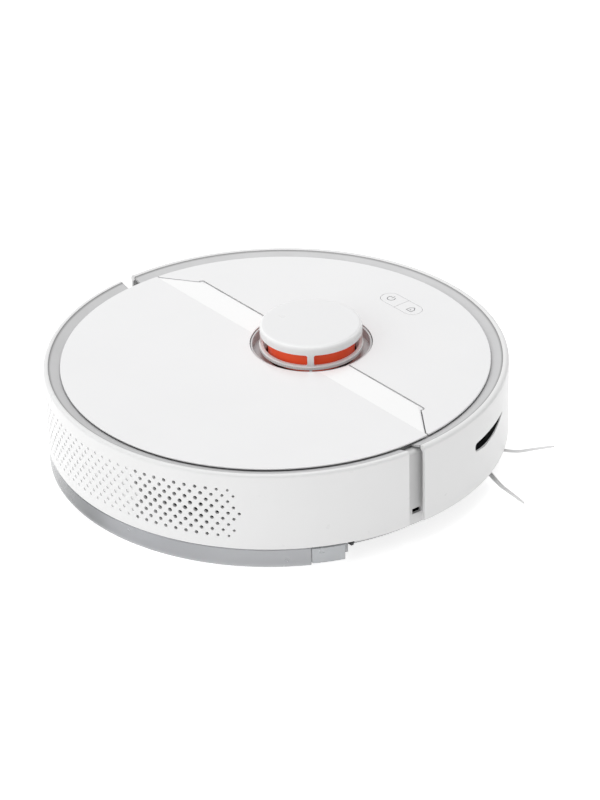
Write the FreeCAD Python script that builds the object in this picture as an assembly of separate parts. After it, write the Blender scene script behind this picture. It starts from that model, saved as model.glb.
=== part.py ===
"""Robot vacuum with a laser tower, a hinged lid, a mop tank and one side brush.

Millimetres. +Y is the front (the bumper's side), +X the right, +Z up. The origin is on the
floor under the body's centre. Each sub-part is written to its own STEP file.
"""
import FreeCAD
import Part
import math
import os
from FreeCAD import Placement, Rotation, Vector

# ---- Driving dimensions -------------------------------------------------------------------
SHELL_R = 175.0             # rear wall, outside
BUMPER_R = 176.0            # bumper wall, outside
WALL = 2.4                  # moulded wall
SHELL_BOTTOM = 19.4         # lower edge of the rear wall
BUMPER_BOTTOM = 19.0
LIP_R = 171.3               # inner edge of the raised lip
LIP_Z = 82.3                # where the wall and the lip's falling top would meet
LIP_IN_Z = 81.3             # the lip's inner edge
RING_OUT_Z = 80.9           # the trim ring's surface at the lip and at its inner edge
RING_IN_Z = 77.0
RING_T = 1.6
DECK_Z = 80.0               # top of the round deck and lid
DECK_R = 162.4
DECK_T = 2.6
DECK_EDGE_T = 1.0           # thinner rim, so the bumper's ring can slide below it
DECK_RIM_R = 154.0
INNER_R = 168.0             # inner wall behind the bumper
INNER_T = 2.5
INNER_TOP = 75.0
PAN_Z = 10.0                # underside of the base pan
PAN_T = 2.4
STEP_Y = -57.0              # the pan steps up behind this line, over the tank
REAR_FLOOR_Z = 19.4
INNER_DECK_TOP = 74.6
INNER_DECK_T = 2.4
RING_IN_R = 160.8
SEAM = 1.0                  # gap between the lid and the front deck
RUN = 0.06                  # radial play of a shaft in its hole

BUMPER_ANGLES = (-1.5, 181.5)
REAR_ANGLES = (185.7, 354.3)
INNER_ANGLES = (-19.6, 199.6)

TOWER_Y = 35.0
TOWER_R = 39.0
TOWER_TOP = 96.5
GUARD_WALL = 2.4
WINDOW_Z = (80.2, 89.4)
PILLAR = 5.0
PILLAR_ANGLE = -40.0
RECESS_R = 46.2             # outside of the dark ring round the tower
CUTOUT_R = 46.8             # hole in the deck and lid round that ring

LID_Y = 33.0                # front edge of the lid
LID_HALF = 132.4            # half of that edge; its ends step back, then slant to the rim
LID_STEP_Y = 29.3           # the step keeps clear of the deck as the lid turns
LID_CORNER = 1.5            # rounding of the step's corner; the deck's is larger by the seam
LID_RIM = (161.9, 8.4)      # where the slanted end meets the rim
BAND_HALF = 124.5
BAND_Y = 9.5
BAND_T = 0.6
HINGE_Y = 31.6
HINGE_Z = 78.0
LUG_R = 1.3
PIN_R = 0.75
HINGE_XS = (-112.0, -72.0, 72.0, 112.0)
LUG_W = 6.0

WHEEL_X = (100.0, 122.0)
WHEEL_R = 33.0
ARM_X = (90.0, 98.5)
ARM_PIVOT = (46.8, 36.0)    # y, z
BRUSH_Y = 2.0
BRUSH_Z = 21.5
BRUSH_R = 21.0
CHAMBER_R = 24.5
CHAMBER_X = (-80.0, 86.0)
GEAR_X = -86.6
GEAR_T = 4.6
BRUSH_TEETH = (24, 36, 12)  # on the brush, the idler and the motor
SIDE_TEETH = (30, 12)       # on the side brush and its motor
MODULE = 0.8
BACKLASH = 0.16
TRAIN_ANGLE = 25.0
SIDE_X, SIDE_Y = 112.0, 91.0
SIDE_ARM_R = 73.0
SIDE_PHASE = 70.0
CASTER_Y = 128.0
FAN_X, FAN_Y = 101.0, -80.0
BUTTON_Y = 125.5
BUTTON_HALF = (20.6, 7.6)
TANK_R = 174.4
TANK_Z = (4.0, 18.9)
TANK_Y = -58.0
LATCH_ANGLES = (-30.8, -22.6)
CLOTH_R = 163.0

VENT_ROWS = 9
VENT_PITCH_Z = 4.8
VENT_MID_Z = 49.2
VENT_PITCH_A = 2.65
VENT_R = 1.7                # open holes; the blind dimples are smaller
DIMPLE_R = 1.4
VENT_RIGHT = -48.0           # angle where the field ends on the right


# ---- Basic solids -------------------------------------------------------------------------
def box(x0, x1, y0, y1, z0, z1):
    """Block between the given limits."""
    return Part.makeBox(x1 - x0, y1 - y0, z1 - z0, Vector(x0, y0, z0))


def cyl(r, z0, z1, x=0.0, y=0.0):
    """Upright cylinder."""
    return Part.makeCylinder(r, z1 - z0, Vector(x, y, z0))


def xcyl(r, x0, x1, y, z):
    """Cylinder along X."""
    return Part.makeCylinder(r, x1 - x0, Vector(x0, y, z), Vector(1, 0, 0))


def tube(r_out, r_in, z0, z1, x=0.0, y=0.0):
    """Upright tube."""
    return cyl(r_out, z0, z1, x, y).cut(cyl(r_in, z0 - 1, z1 + 1, x, y))


def polar(r, degrees, z=0.0, x=0.0, y=0.0):
    """Point at radius r and an angle from +X, about (x, y)."""
    a = math.radians(degrees)
    return Vector(x + r * math.cos(a), y + r * math.sin(a), z)


def outline(corners, place):
    """Closed wire through (a, b, radius) corners, each rounded by a tangent arc."""
    arcs = []
    count = len(corners)
    for i, (a, b, radius) in enumerate(corners):
        here = Vector(a, b, 0)
        to_last = (Vector(*corners[i - 1][:2], 0) - here).normalize()
        to_next = (Vector(*corners[(i + 1) % count][:2], 0) - here).normalize()
        half = to_last.getAngle(to_next) / 2
        back = radius / math.tan(half)
        inward = (to_last + to_next)
        start = here + to_last * back
        end = here + to_next * back
        if radius > 0:
            inward.normalize()
            middle = here + inward * (radius / math.sin(half) - radius)
        else:
            middle = here
        arcs.append((start, middle, end))
    edges = []
    for i, (start, middle, end) in enumerate(arcs):
        before = arcs[i - 1][2]
        if (start - before).Length > 1e-6:
            edges.append(Part.LineSegment(place(before), place(start)).toShape())
        if (end - start).Length > 1e-6:
            edges.append(Part.Arc(place(start), place(middle), place(end)).toShape())
    return Part.Wire(Part.__sortEdges__(edges))


def prism(corners, z0, z1):
    """Upright prism over a rounded outline of (x, y, radius) corners."""
    wire = outline(corners, lambda p: Vector(p.x, p.y, z0))
    return Part.Face(wire).extrude(Vector(0, 0, z1 - z0))


def side_prism(corners, x0, x1):
    """Prism along X over a rounded outline of (y, z, radius) corners."""
    wire = outline(corners, lambda p: Vector(x0, p.x, p.y))
    return Part.Face(wire).extrude(Vector(x1 - x0, 0, 0))


def lathe(corners, angles=(0.0, 360.0), y=0.0, x=0.0):
    """Solid turned from a rounded outline of (r, z, radius) corners, between two angles."""
    wire = outline(corners, lambda p: Vector(p.x, 0, p.y))
    solid = Part.Face(wire).revolve(Vector(0, 0, 0), Vector(0, 0, 1), angles[1] - angles[0])
    solid.rotate(Vector(0, 0, 0), Vector(0, 0, 1), angles[0])
    solid.translate(Vector(x, y, 0))
    return solid


def sector(r_in, r_out, z0, z1, angles):
    """Part of a ring of rectangular section."""
    corners = [(r_in, z0, 0), (r_out, z0, 0), (r_out, z1, 0), (r_in, z1, 0)]
    return lathe(corners, angles)


def sharp(points):
    """The same points as corners with no rounding."""
    return [(a, b, 0) for a, b in points]


def mirror_x(shape):
    """Copy mirrored across the YZ plane."""
    return shape.mirror(Vector(0, 0, 0), Vector(1, 0, 0))


def both_sides(shape):
    """The shape and its mirror image, as a list."""
    return [shape, mirror_x(shape)]


def join(first, *others):
    """Union with its seams removed."""
    return first.fuse(list(others)).removeSplitter()


def save(node, *solids):
    """Write one sub-part to its STEP file."""
    found = [s for solid in solids for s in solid.Solids]
    shape = found[0] if len(found) == 1 else Part.makeCompound(found)
    if not shape.isValid():
        raise ValueError(node + " is not a valid shape")
    shape.exportStep("parts/" + node + ".step")
    print(f"{node:24s} {len(found)} solid(s) {shape.Volume / 1000:8.1f} cm3")


# ---- Gears --------------------------------------------------------------------------------
def gear(teeth, width, phase, bore):
    """Involute spur gear about Z from z = 0, with a tooth centred on the phase angle."""
    pitch = MODULE * teeth / 2
    base = pitch * math.cos(math.radians(20))
    tip = pitch + 0.85 * MODULE
    root = pitch - 1.2 * MODULE
    half_pitch = (math.pi / 2 - BACKLASH / MODULE) / teeth
    at_pitch = math.tan(math.radians(20)) - math.radians(20)
    radii = [max(base, root) + (tip - max(base, root)) * k / 4 for k in range(5)]
    flank = [(root, half_pitch + at_pitch)]
    for r in radii:
        angle = math.acos(min(1.0, base / r))
        flank.append((r, half_pitch + at_pitch - (math.tan(angle) - angle)))
    points = []
    for tooth in range(teeth):
        centre = math.radians(phase) + 2 * math.pi * tooth / teeth
        for r, half in flank:
            points.append(Vector(r * math.cos(centre - half), r * math.sin(centre - half), 0))
        for r, half in reversed(flank):
            points.append(Vector(r * math.cos(centre + half), r * math.sin(centre + half), 0))
    solid = Part.Face(Part.makePolygon(points + points[:1])).extrude(Vector(0, 0, width))
    return solid.cut(cyl(bore, -1, width + 1)) if bore else solid


def lay_along_x(shape, x, y, z):
    """Turn a shape built about +Z so that it lies about +X, and put its start at (x, y, z)."""
    turned = shape.copy()
    turned.Placement = Placement(Vector(x, y, z), Rotation(Vector(1, 1, 1), 120))
    return turned


# ---- Casing -------------------------------------------------------------------------------
def wall_profile(outer, bottom, inner, shoulder):
    """Section of an outer wall with its rounded shoulder and raised lip."""
    return [(outer, bottom, 0.8), (outer, LIP_Z, shoulder), (LIP_R, LIP_IN_Z, 0.3),
            (LIP_R, 78.4, 0), (inner, 76.6, 0), (inner, bottom, 0.3)]


def ring_profile():
    """Section of the sloped trim ring between the lip and the deck."""
    return sharp([(LIP_R, RING_OUT_Z), (LIP_R, RING_OUT_Z - RING_T),
                  (RING_IN_R, RING_IN_Z - RING_T), (RING_IN_R, RING_IN_Z)])


def vent_holes():
    """Cutters of the staggered dot field: open over the fan's outlet, blind elsewhere."""
    cutters = []
    for row in range(VENT_ROWS):
        off = abs(row - VENT_ROWS // 2)
        z = VENT_MID_Z + (row - VENT_ROWS // 2) * VENT_PITCH_Z
        edge = VENT_RIGHT + 0.6 - (2.2 if off == VENT_ROWS // 2 else 0.2 * off)
        stagger = 0.5 * (row % 2)
        for column in range(-17, 18):
            angle = -90 + (column + stagger) * VENT_PITCH_A
            if angle > edge or angle < -180 - edge:
                continue
            through = angle > -73.4 - 0.5 * off
            fade = 1 - 0.05 * off - 0.3 * max(0, (abs(angle + 90) - 33) / 9)
            radius, depth = (VENT_R, 4.0) if through else (DIMPLE_R, 0.6)
            start = polar(SHELL_R - depth, angle, z)
            cutters.append(Part.makeCylinder(radius * fade, depth + 1, start, polar(1, angle)))
    return cutters


def make_rear_shell():
    """White wall round the rear, with its vents and a flange that stands on the pan."""
    inner = SHELL_R - WALL
    shell = lathe(wall_profile(SHELL_R, SHELL_BOTTOM, inner, 2.4), REAR_ANGLES)
    flange = sector(INNER_R + 0.4, inner + 0.4, 21.8, 23.8, REAR_ANGLES)
    shell = join(shell, flange)
    save("rear_shell", shell.cut(Part.makeCompound(vent_holes())))
    save("rear_trim_ring", lathe(ring_profile(), REAR_ANGLES))


def sensor_slot():
    """Cutter of the wall sensor's opening: straight above, curved below, a point in front."""
    corners = [(-26.0, 58.3, 2.6), (-26.0, 51.4, 3.0), (-11.0, 49.2, 12.0), (8.0, 51.3, 14.0),
               (26.0, 57.8, 0.2), (25.0, 58.4, 0.2)]
    slot = side_prism(corners, BUMPER_R - 8, BUMPER_R + 4)
    slot.rotate(Vector(0, 0, 0), Vector(0, 0, 1), 25.5)
    return slot


def make_bumper():
    """Front half-round bumper, its trim ring and the wall sensor's window."""
    shell = lathe(wall_profile(BUMPER_R, BUMPER_BOTTOM, BUMPER_R - WALL, 2.8), BUMPER_ANGLES)
    slot = sensor_slot()
    save("bumper_shell", shell.cut(slot))
    save("bumper_trim_ring", lathe(ring_profile(), BUMPER_ANGLES))
    inner = BUMPER_R - WALL
    flange = sector(inner - 1.5, inner, 47.0, 60.5, (15.4, 35.6))
    front = sector(inner - 1.0, BUMPER_R - 0.6, 40.0, 70.0, (10.0, 41.0)).common(slot)
    save("wall_sensor_window", join(flange, front))


def lid_outline(grow=0.0, half=LID_HALF, corner=LID_CORNER):
    """Plan of the lid: front edge, steps and slants at its ends, short flats at the rim."""
    slope = (LID_STEP_Y - LID_RIM[1]) / (LID_RIM[0] - LID_HALF)
    rise = grow * math.hypot(1, slope)
    far = 200.0

    def slant(x):
        return LID_RIM[1] + slope * (LID_RIM[0] - x) + rise

    rim_x = LID_RIM[0] - 2.5
    end_x = half + grow
    front = LID_Y + grow
    right = [(end_x, front, corner), (end_x, slant(end_x), 0), (rim_x, slant(rim_x), 0),
             (far, slant(rim_x), 0), (far, -far, 0)]
    if slant(end_x) > front - 0.01:
        right[:2] = [(LID_RIM[0] + (LID_RIM[1] + rise - front) / slope, front, 0)]
    left = [(-x, y, radius) for x, y, radius in reversed(right)]
    return left + right


def deck_disc(thickness):
    """Round plate with a thinner rim, top at the deck's height."""
    top = DECK_Z
    return lathe([(0, top - thickness, 0), (DECK_RIM_R, top - thickness, 0),
                  (DECK_RIM_R, top - DECK_EDGE_T, 0), (DECK_R, top - DECK_EDGE_T, 0),
                  (DECK_R, top, 0.6), (0, top, 0)])


def pill(half_x, half_y, z0, z1, y=BUTTON_Y):
    """Upright pill along X."""
    reach = half_x - half_y
    middle = box(-reach, reach, y - half_y, y + half_y, z0, z1)
    return join(middle, cyl(half_y, z0, z1, -reach, y), cyl(half_y, z0, z1, reach, y))


def make_deck():
    """Fixed front part of the round deck, with the tower's opening and the keys' opening."""
    deck = deck_disc(DECK_T).cut(prism(lid_outline(SEAM, corner=LID_CORNER + SEAM), 70, 90))
    deck = deck.cut(cyl(CUTOUT_R, 70, 90, 0, TOWER_Y))
    deck = deck.cut(pill(BUTTON_HALF[0] + 0.25, BUTTON_HALF[1] + 0.25, 70, 90))
    collar = pill(BUTTON_HALF[0] + 2.2, BUTTON_HALF[1] + 2.2, 73.0, DECK_Z - 1.5)
    collar = collar.cut(pill(BUTTON_HALF[0] + 0.8, BUTTON_HALF[1] + 0.8, 70, 90))
    save("front_deck", join(deck, collar))


def make_keys():
    """Two keys that share one pill-shaped opening, each with its stem."""
    key = pill(BUTTON_HALF[0], BUTTON_HALF[1], 77.0, DECK_Z)
    right = key.common(box(0.15, 40, 0, 200, 70, 90))
    stem = cyl(2.0, 62.4, 77.5, 11.0, BUTTON_Y)
    right = join(right, stem)
    save("dock_button", right)
    save("power_button", mirror_x(right))


def make_lid():
    """Hinged rear lid with its recess for the band, its hinge barrels and lug pockets."""
    lid = deck_disc(DECK_T).common(prism(lid_outline(), 70, 90))
    edges = [e for e in lid.Edges
             if abs(e.CenterOfMass.y - LID_Y) < 0.01 and abs(e.CenterOfMass.z - DECK_Z) < 0.01]
    lid = lid.makeFillet(0.8, edges)
    lid = lid.cut(cyl(CUTOUT_R, 70, 90, 0, TOWER_Y))
    for x in HINGE_XS:
        for side in (-1, 1):
            inner = x + side * (LUG_W / 2 + 0.4)
            barrel = xcyl(LUG_R, min(inner, inner + side * 6), max(inner, inner + side * 6),
                          HINGE_Y, HINGE_Z)
            lid = lid.fuse(barrel)
        pocket = box(x - LUG_W / 2 - 0.4, x + LUG_W / 2 + 0.4, 26.4, 40, 70, HINGE_Z + LUG_R + 0.08)
        lid = lid.cut(pocket)
        lid = lid.cut(xcyl(PIN_R + RUN, x - 11, x + 11, HINGE_Y, HINGE_Z))
    band = cyl(DECK_R - 2.4, DECK_Z - BAND_T, DECK_Z).cut(box(-200, 200, -200, BAND_Y, 70, 90))
    band = band.common(prism(lid_outline(-0.9, BAND_HALF, 0), 70, 90))
    band = band.cut(cyl(CUTOUT_R + 0.9, 70, 90, 0, TOWER_Y))
    lid = lid.cut(band)
    save("rear_lid", lid)
    save("lid_band", band)
    pins = [xcyl(PIN_R, x - 9, x + 9, HINGE_Y, HINGE_Z) for x in HINGE_XS]
    save("lid_hinge_pins", *pins)


def bin_outline(grow):
    """Plan of the dust bin, grown outwards by a margin."""
    return [(-86 - grow, -34 + grow, 4), (58 + grow, -34 + grow, 4),
            (58 + grow, -140 - grow, 6), (-60 - grow, -140 - grow, 6),
            (-86 - grow, -117 - grow, 6)]


def make_inner_deck():
    """Inner deck below the lid: the bin's bay, the tower's hole and the hinge lugs."""
    low = INNER_DECK_TOP - INNER_DECK_T
    plate = cyl(RING_IN_R, low, INNER_DECK_TOP).common(box(-200, 200, -200, -12, 0, 100))
    front = cyl(RING_IN_R - 2.4, low, INNER_DECK_TOP).common(box(-200, 200, -50, 52, 0, 100))
    plate = join(plate, front)
    plate = plate.cut(prism(bin_outline(0.8), 0, 100))
    plate = plate.cut(cyl(RECESS_R + 0.4, 0, 100, 0, TOWER_Y))
    for x in HINGE_XS:
        half = LUG_W / 2
        stem = box(x - half, x + half, HINGE_Y - 1.2, HINGE_Y + 0.7, low, HINGE_Z)
        lug = stem.fuse(xcyl(LUG_R, x - half, x + half, HINGE_Y, HINGE_Z))
        plate = plate.fuse(lug).cut(xcyl(PIN_R, x - 9, x + 9, HINGE_Y, HINGE_Z))
    save("inner_deck", plate)


def make_inner_wall():
    """Wall behind the bumper, seen through the gap at the bumper's ends."""
    inner = INNER_R - INNER_T
    wall = lathe([(inner, 14.0, 0), (INNER_R, 14.0, 0), (INNER_R, INNER_TOP, 2.4),
                  (RING_IN_R + 0.6, INNER_TOP, 0), (RING_IN_R + 0.6, INNER_TOP - 1.4, 0),
                  (inner, INNER_TOP - 1.4, 0)], INNER_ANGLES)
    slot = prism([(150, -9.4, 0), (190, -9.4, 0), (190, -1.2, 0), (150, -1.2, 0)], 22.8, 27.2)
    wall = wall.cut(slot).cut(mirror_x(slot))
    for angle in (60, 120):
        hole = Part.makeCylinder(2.2, 12, polar(160, angle, 45), polar(1, angle))
        wall = wall.cut(hole)
    save("bumper_backing_wall", wall)


POSTS_FRONT = [(80.0, 125.0), (136.0, 46.0), (142.0, -48.0)]
POST_REAR = (34.0, -149.0)


def make_pan():
    """Base pan: stepped floor, side brush cup, caster socket and screw posts."""
    rear_top = REAR_FLOOR_Z + PAN_T
    dish = lathe(sharp([(0, PAN_Z), (163.0, PAN_Z), (INNER_R, 14.0), (INNER_R - INNER_T, 14.0),
                        (162.2, PAN_Z + PAN_T), (0, PAN_Z + PAN_T)]))
    dish = dish.common(box(-200, 200, STEP_Y, 200, 0, 100))
    rear = cyl(SHELL_R - WALL, REAR_FLOOR_Z, rear_top)
    rear = rear.common(box(-200, 200, -200, STEP_Y, 0, 100))
    riser = box(-155.4, 155.4, STEP_Y, STEP_Y + PAN_T, PAN_Z, rear_top)
    pan = join(dish, rear, riser)
    for solid in both_sides(box(88.5, 127.0, -38.5, 40.5, 0, 16)):
        pan = pan.cut(solid)
    pan = pan.cut(box(-88.0, 86.5, -26.5, 30.5, 0, 16))
    pan = pan.cut(box(-68.0, 68.0, 59.0, 101.0, 0, 16))
    side_cup = tube(21.0, 19.0, PAN_Z, 16.0, SIDE_X, SIDE_Y)
    side_top = tube(21.0, 3.0 + RUN, 14.0, 16.0, SIDE_X, SIDE_Y)
    caster_cup = tube(22.5, 20.5, PAN_Z, 30.0, 0, CASTER_Y)
    caster_top = tube(22.5, 4.0 + RUN, 28.0, 30.0, 0, CASTER_Y)
    caster_boss = tube(8.0, 4.0 + RUN, 29.0, 42.0, 0, CASTER_Y)
    pan = pan.cut(cyl(19.5, 0, 13, SIDE_X, SIDE_Y)).cut(cyl(21, 0, 13, 0, CASTER_Y))
    pan = join(pan, side_cup, side_top, caster_cup, caster_top, caster_boss)
    posts = []
    for x, y in POSTS_FRONT:
        top = DECK_Z - DECK_T if y > 52 else INNER_DECK_TOP - INNER_DECK_T
        posts += both_sides(cyl(4.0, PAN_Z + 1, top, x, y))
    posts += both_sides(cyl(4.0, rear_top - 1, INNER_DECK_TOP - INNER_DECK_T, *POST_REAR))
    pan = join(pan, *posts)
    for x, y in POSTS_FRONT:
        hole = cyl(1.35, 0, 24, x, y).fuse(cyl(3.3, 0, 11.2, x, y))
        for cutter in both_sides(hole):
            pan = pan.cut(cutter)
    for x, y in cliff_spots():
        pan = pan.cut(box(x - 8, x + 8, y - 4, y + 4, 0, 16))
    for x in (-28, 28):
        pan = pan.cut(box(x - 9, x + 9, 151.5, 158.5, 0, 16))
    save("base_pan", pan)
    screws = []
    for x, y in POSTS_FRONT:
        screw = cyl(3.0, 10.1, 11.2, x, y).fuse(cyl(1.3, 11.2, 22, x, y))
        slot = box(x - 2, x + 2, y - 0.3, y + 0.3, 10, 10.6)
        cross = box(x - 0.3, x + 0.3, y - 2, y + 2, 10, 10.6)
        screws += both_sides(screw.cut(slot).cut(cross))
    save("case_screws", *screws)


def cliff_spots():
    """Centres of the four drop sensors in the pan."""
    return [(70.0, 136.0), (-70.0, 136.0), (146.0, 52.0), (-146.0, 52.0)]


def make_pan_fittings():
    """Drop sensor windows, charging contacts and the battery's cover, set in the pan."""
    windows = []
    for x, y in cliff_spots():
        windows.append(box(x - 7.9, x + 7.9, y - 3.9, y + 3.9, 10.2, 12.0))
    save("cliff_sensor_windows", *windows)
    contacts = []
    for x in (-28, 28):
        plate = box(x - 8.9, x + 8.9, 151.6, 158.4, 9.7, 12.4)
        contacts.append(plate.makeFillet(0.5, plate.Faces[4].Edges))
    save("charging_contacts", *contacts)
    cover = box(-67.8, 67.8, 59.2, 100.8, PAN_Z, 12.2)
    for x in (-50, 50):
        cover = cover.cut(cyl(4, 9, 10.8, x, 66))
    save("battery_cover", cover)


# ---- Laser tower --------------------------------------------------------------------------
def window_cutter(start, end):
    """Opening between two pillars, with rounded corners."""
    low, high = WINDOW_Z
    ring = sector(TOWER_R - 6, TOWER_R + 3, low, high, (start, end))
    radial = []
    for edge in ring.Edges:
        a, b = edge.Vertexes[0].Point, edge.Vertexes[-1].Point
        if abs(a.z - b.z) < 1e-6 and abs(a.distanceToPoint(b) - 9) < 1e-3:
            radial.append(edge)
    return ring.makeFillet(1.6, radial)


def make_tower():
    """Guard with four pillars, dark recess ring, base plate, rotor, motor, pulley and belt."""
    inner = TOWER_R - GUARD_WALL
    guard = lathe([(0, 94.3, 0), (inner, 94.3, 1.0), (inner, 77.2, 0), (TOWER_R + 0.6, 77.2, 0),
                   (TOWER_R + 0.6, 79.6, 0.3), (TOWER_R, 79.8, 0), (TOWER_R, TOWER_TOP, 3.0),
                   (0, TOWER_TOP, 0)])
    half = math.degrees(PILLAR / 2 / TOWER_R)
    for k in range(4):
        start = PILLAR_ANGLE + 90 * k + half
        guard = guard.cut(window_cutter(start, start + 90 - 2 * half))
    for k in range(4):
        foot = polar(TOWER_R - 1.2, PILLAR_ANGLE + 90 * k)
        guard = guard.fuse(cyl(1.1, 73.2, 77.6, foot.x, foot.y))
    guard.translate(Vector(0, TOWER_Y, 0))
    save("tower_guard", guard)

    ring = lathe(sharp([(34.8, 70.0), (RECESS_R, 70.0), (RECESS_R, 79.2), (44.9, 79.2),
                        (44.9, 71.5), (34.8, 71.5)]))
    skirt = tube(RECESS_R, 44.9, 66.5, 70.5)
    ring = join(ring, skirt)
    motor = lidar_motor_centre()
    belt_way = box(0, 60, -10, 10, 66, 69.9)
    belt_way.rotate(Vector(0, 0, 0), Vector(0, 0, 1), 135)
    ring = ring.cut(belt_way)
    ring.translate(Vector(0, TOWER_Y, 0))
    save("tower_recess_ring", ring)

    plate = cyl(RECESS_R, 64.5, 66.5, 0, TOWER_Y).fuse(cyl(11, 64.5, 66.5, motor.x, motor.y))
    plate = join(plate, cyl(8.0, 66, 71.5, 0, TOWER_Y))
    plate = plate.cut(cyl(2.2, 60, 70, motor.x, motor.y))
    save("lidar_base_plate", plate)

    body = cyl(9.0, 54.5, 64.5, motor.x, motor.y)
    save("lidar_motor", body)
    pulley = join(cyl(1.2, 64.6, 70.4, motor.x, motor.y), cyl(4.0, 67.2, 69.6, motor.x, motor.y),
                  cyl(5.2, 66.7, 67.2, motor.x, motor.y), cyl(5.2, 69.6, 70.1, motor.x, motor.y))
    flat = box(motor.x + 0.8, motor.x + 2, motor.y - 2, motor.y + 2, 70.1, 71)
    save("lidar_pulley", pulley.cut(flat))
    save("lidar_belt", belt())

    rotor = lathe([(8.0 + RUN, 67.0, 0), (28.0, 67.0, 0), (28.0, 69.9, 0), (33.0, 72.4, 0),
                   (33.0, 91.5, 1.5), (0, 91.5, 0), (0, 72.4, 0), (8.0 + RUN, 72.4, 0)])
    for x in (-9.0, 9.0):
        eye = Part.makeCylinder(5.0, 20, Vector(x, 20, 85), Vector(0, 1, 0))
        rotor = rotor.cut(eye)
    lenses = [Part.makeCylinder(4.9, 1.6, Vector(x, 21, 85), Vector(0, 1, 0)) for x in (-9, 9)]
    for solid in [rotor] + lenses:
        solid.translate(Vector(0, TOWER_Y, 0))
    save("lidar_rotor", rotor)
    save("lidar_lenses", *lenses)


def lidar_motor_centre():
    """Where the small motor that turns the rotor stands."""
    return polar(52.0, 135, 0, 0, TOWER_Y)


def belt():
    """Flat belt round the rotor's and the motor's pulleys: two arcs and two tangents."""
    motor = lidar_motor_centre()
    rotor = Vector(0, TOWER_Y, 0)
    way = motor - rotor
    angle = math.degrees(math.atan2(way.y, way.x))

    def loop(big, small):
        turn = math.degrees(math.acos((big - small) / way.Length))
        far = [polar(small, angle + a, 67.4, motor.x, motor.y) for a in (-turn, 0, turn)]
        near = [polar(big, angle + a, 67.4, 0, TOWER_Y) for a in (turn, 180, 360 - turn)]
        edges = [Part.Arc(*far).toShape(), Part.LineSegment(far[2], near[0]).toShape(),
                 Part.Arc(*near).toShape(), Part.LineSegment(near[2], far[0]).toShape()]
        return Part.Face(Part.Wire(edges))

    ring = loop(29.1, 5.1).cut(loop(28.05, 4.05))
    return ring.extrude(Vector(0, 0, 2.0))


# ---- Inside -------------------------------------------------------------------------------
def make_battery_and_board():
    """Battery pack, main board with its parts, speaker and the bumper's two switches."""
    pack = box(-67, 67, 60, 100, 12.6, 53)
    save("battery_pack", pack.makeFillet(3, upright_edges(pack)))
    board = box(-60, 60, 86, 150, 57.0, 58.6)
    for x, y, w, d, h in [(-40, 100, 16, 16, 2), (5, 96, 22, 14, 2), (42, 100, 12, 20, 4),
                          (-45, 130, 10, 18, 6), (40, 135, 18, 8, 5)]:
        board = board.fuse(box(x - w / 2, x + w / 2, y - d / 2, y + d / 2, 58.4, 58.6 + h))
    for x in (-11, 11):
        board = board.fuse(box(x - 3, x + 3, BUTTON_Y - 3, BUTTON_Y + 3, 58.4, 61.0))
    legs = [cyl(3, 42.0, 57.2, 0, CASTER_Y)]
    save("main_board", join(board, *legs))
    speaker = lathe([(0, 14.0, 0), (14, 14.0, 1), (14, 17, 0), (9, 22, 0), (9, 26, 0.5),
                     (0, 26, 0)], y=128.0, x=-45.0)
    save("speaker", speaker)
    switches = []
    for angle in (60, 120):
        body = Part.makeBox(8, 14, 10, Vector(157.3, -7, 40))
        plunger = Part.makeCylinder(2.0, 5.0, Vector(164.6, 0, 45), Vector(1, 0, 0))
        switch = body.fuse(plunger)
        switch.rotate(Vector(0, 0, 0), Vector(0, 0, 1), angle)
        switches.append(switch)
    save("bumper_switches", *switches)


def upright_edges(block):
    """Upright edges of a block."""
    return [e for e in block.Edges if abs(e.Vertexes[0].Z - e.Vertexes[-1].Z) > 1]


def make_dust_bin():
    """Open-topped bin with an inlet in front and a filter window at its right, and its cover."""
    body = prism(bin_outline(0), 24.0, 71.8)
    cavity = prism(bin_outline(-2), 26.0, 80.0)
    inlet = box(-46, 26, -37, -33, 30, 56)
    window = box(55, 59, -122, -58, 32, 66)
    save("dust_bin", body.cut(cavity).cut(inlet).cut(window))
    pleats = box(48.5, 56.0, -126, -54, 28, 69)
    for k in range(10):
        y = -117.0 + 6 * k
        pleats = pleats.cut(box(47, 53.5, y - 1.2, y + 1.2, 32, 66))
    save("bin_filter", pleats)
    cover = prism(bin_outline(0), 71.8, 74.2)
    grip = prism([(-50, -104, 8), (14, -104, 8), (14, -80, 8), (-50, -80, 8)], 71.0, 76.0)
    well = prism([(-52, -106, 9), (16, -106, 9), (16, -78, 9), (-52, -78, 9)], 66.0, 71.9)
    well_inside = prism([(-50, -104, 8), (14, -104, 8), (14, -80, 8), (-50, -80, 8)], 67.6, 72.0)
    bar = box(-52, 16, -95.0, -89.0, 69.0, 74.2)
    cover = join(cover.cut(grip), well.cut(well_inside), bar)
    save("bin_cover", cover)


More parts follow.
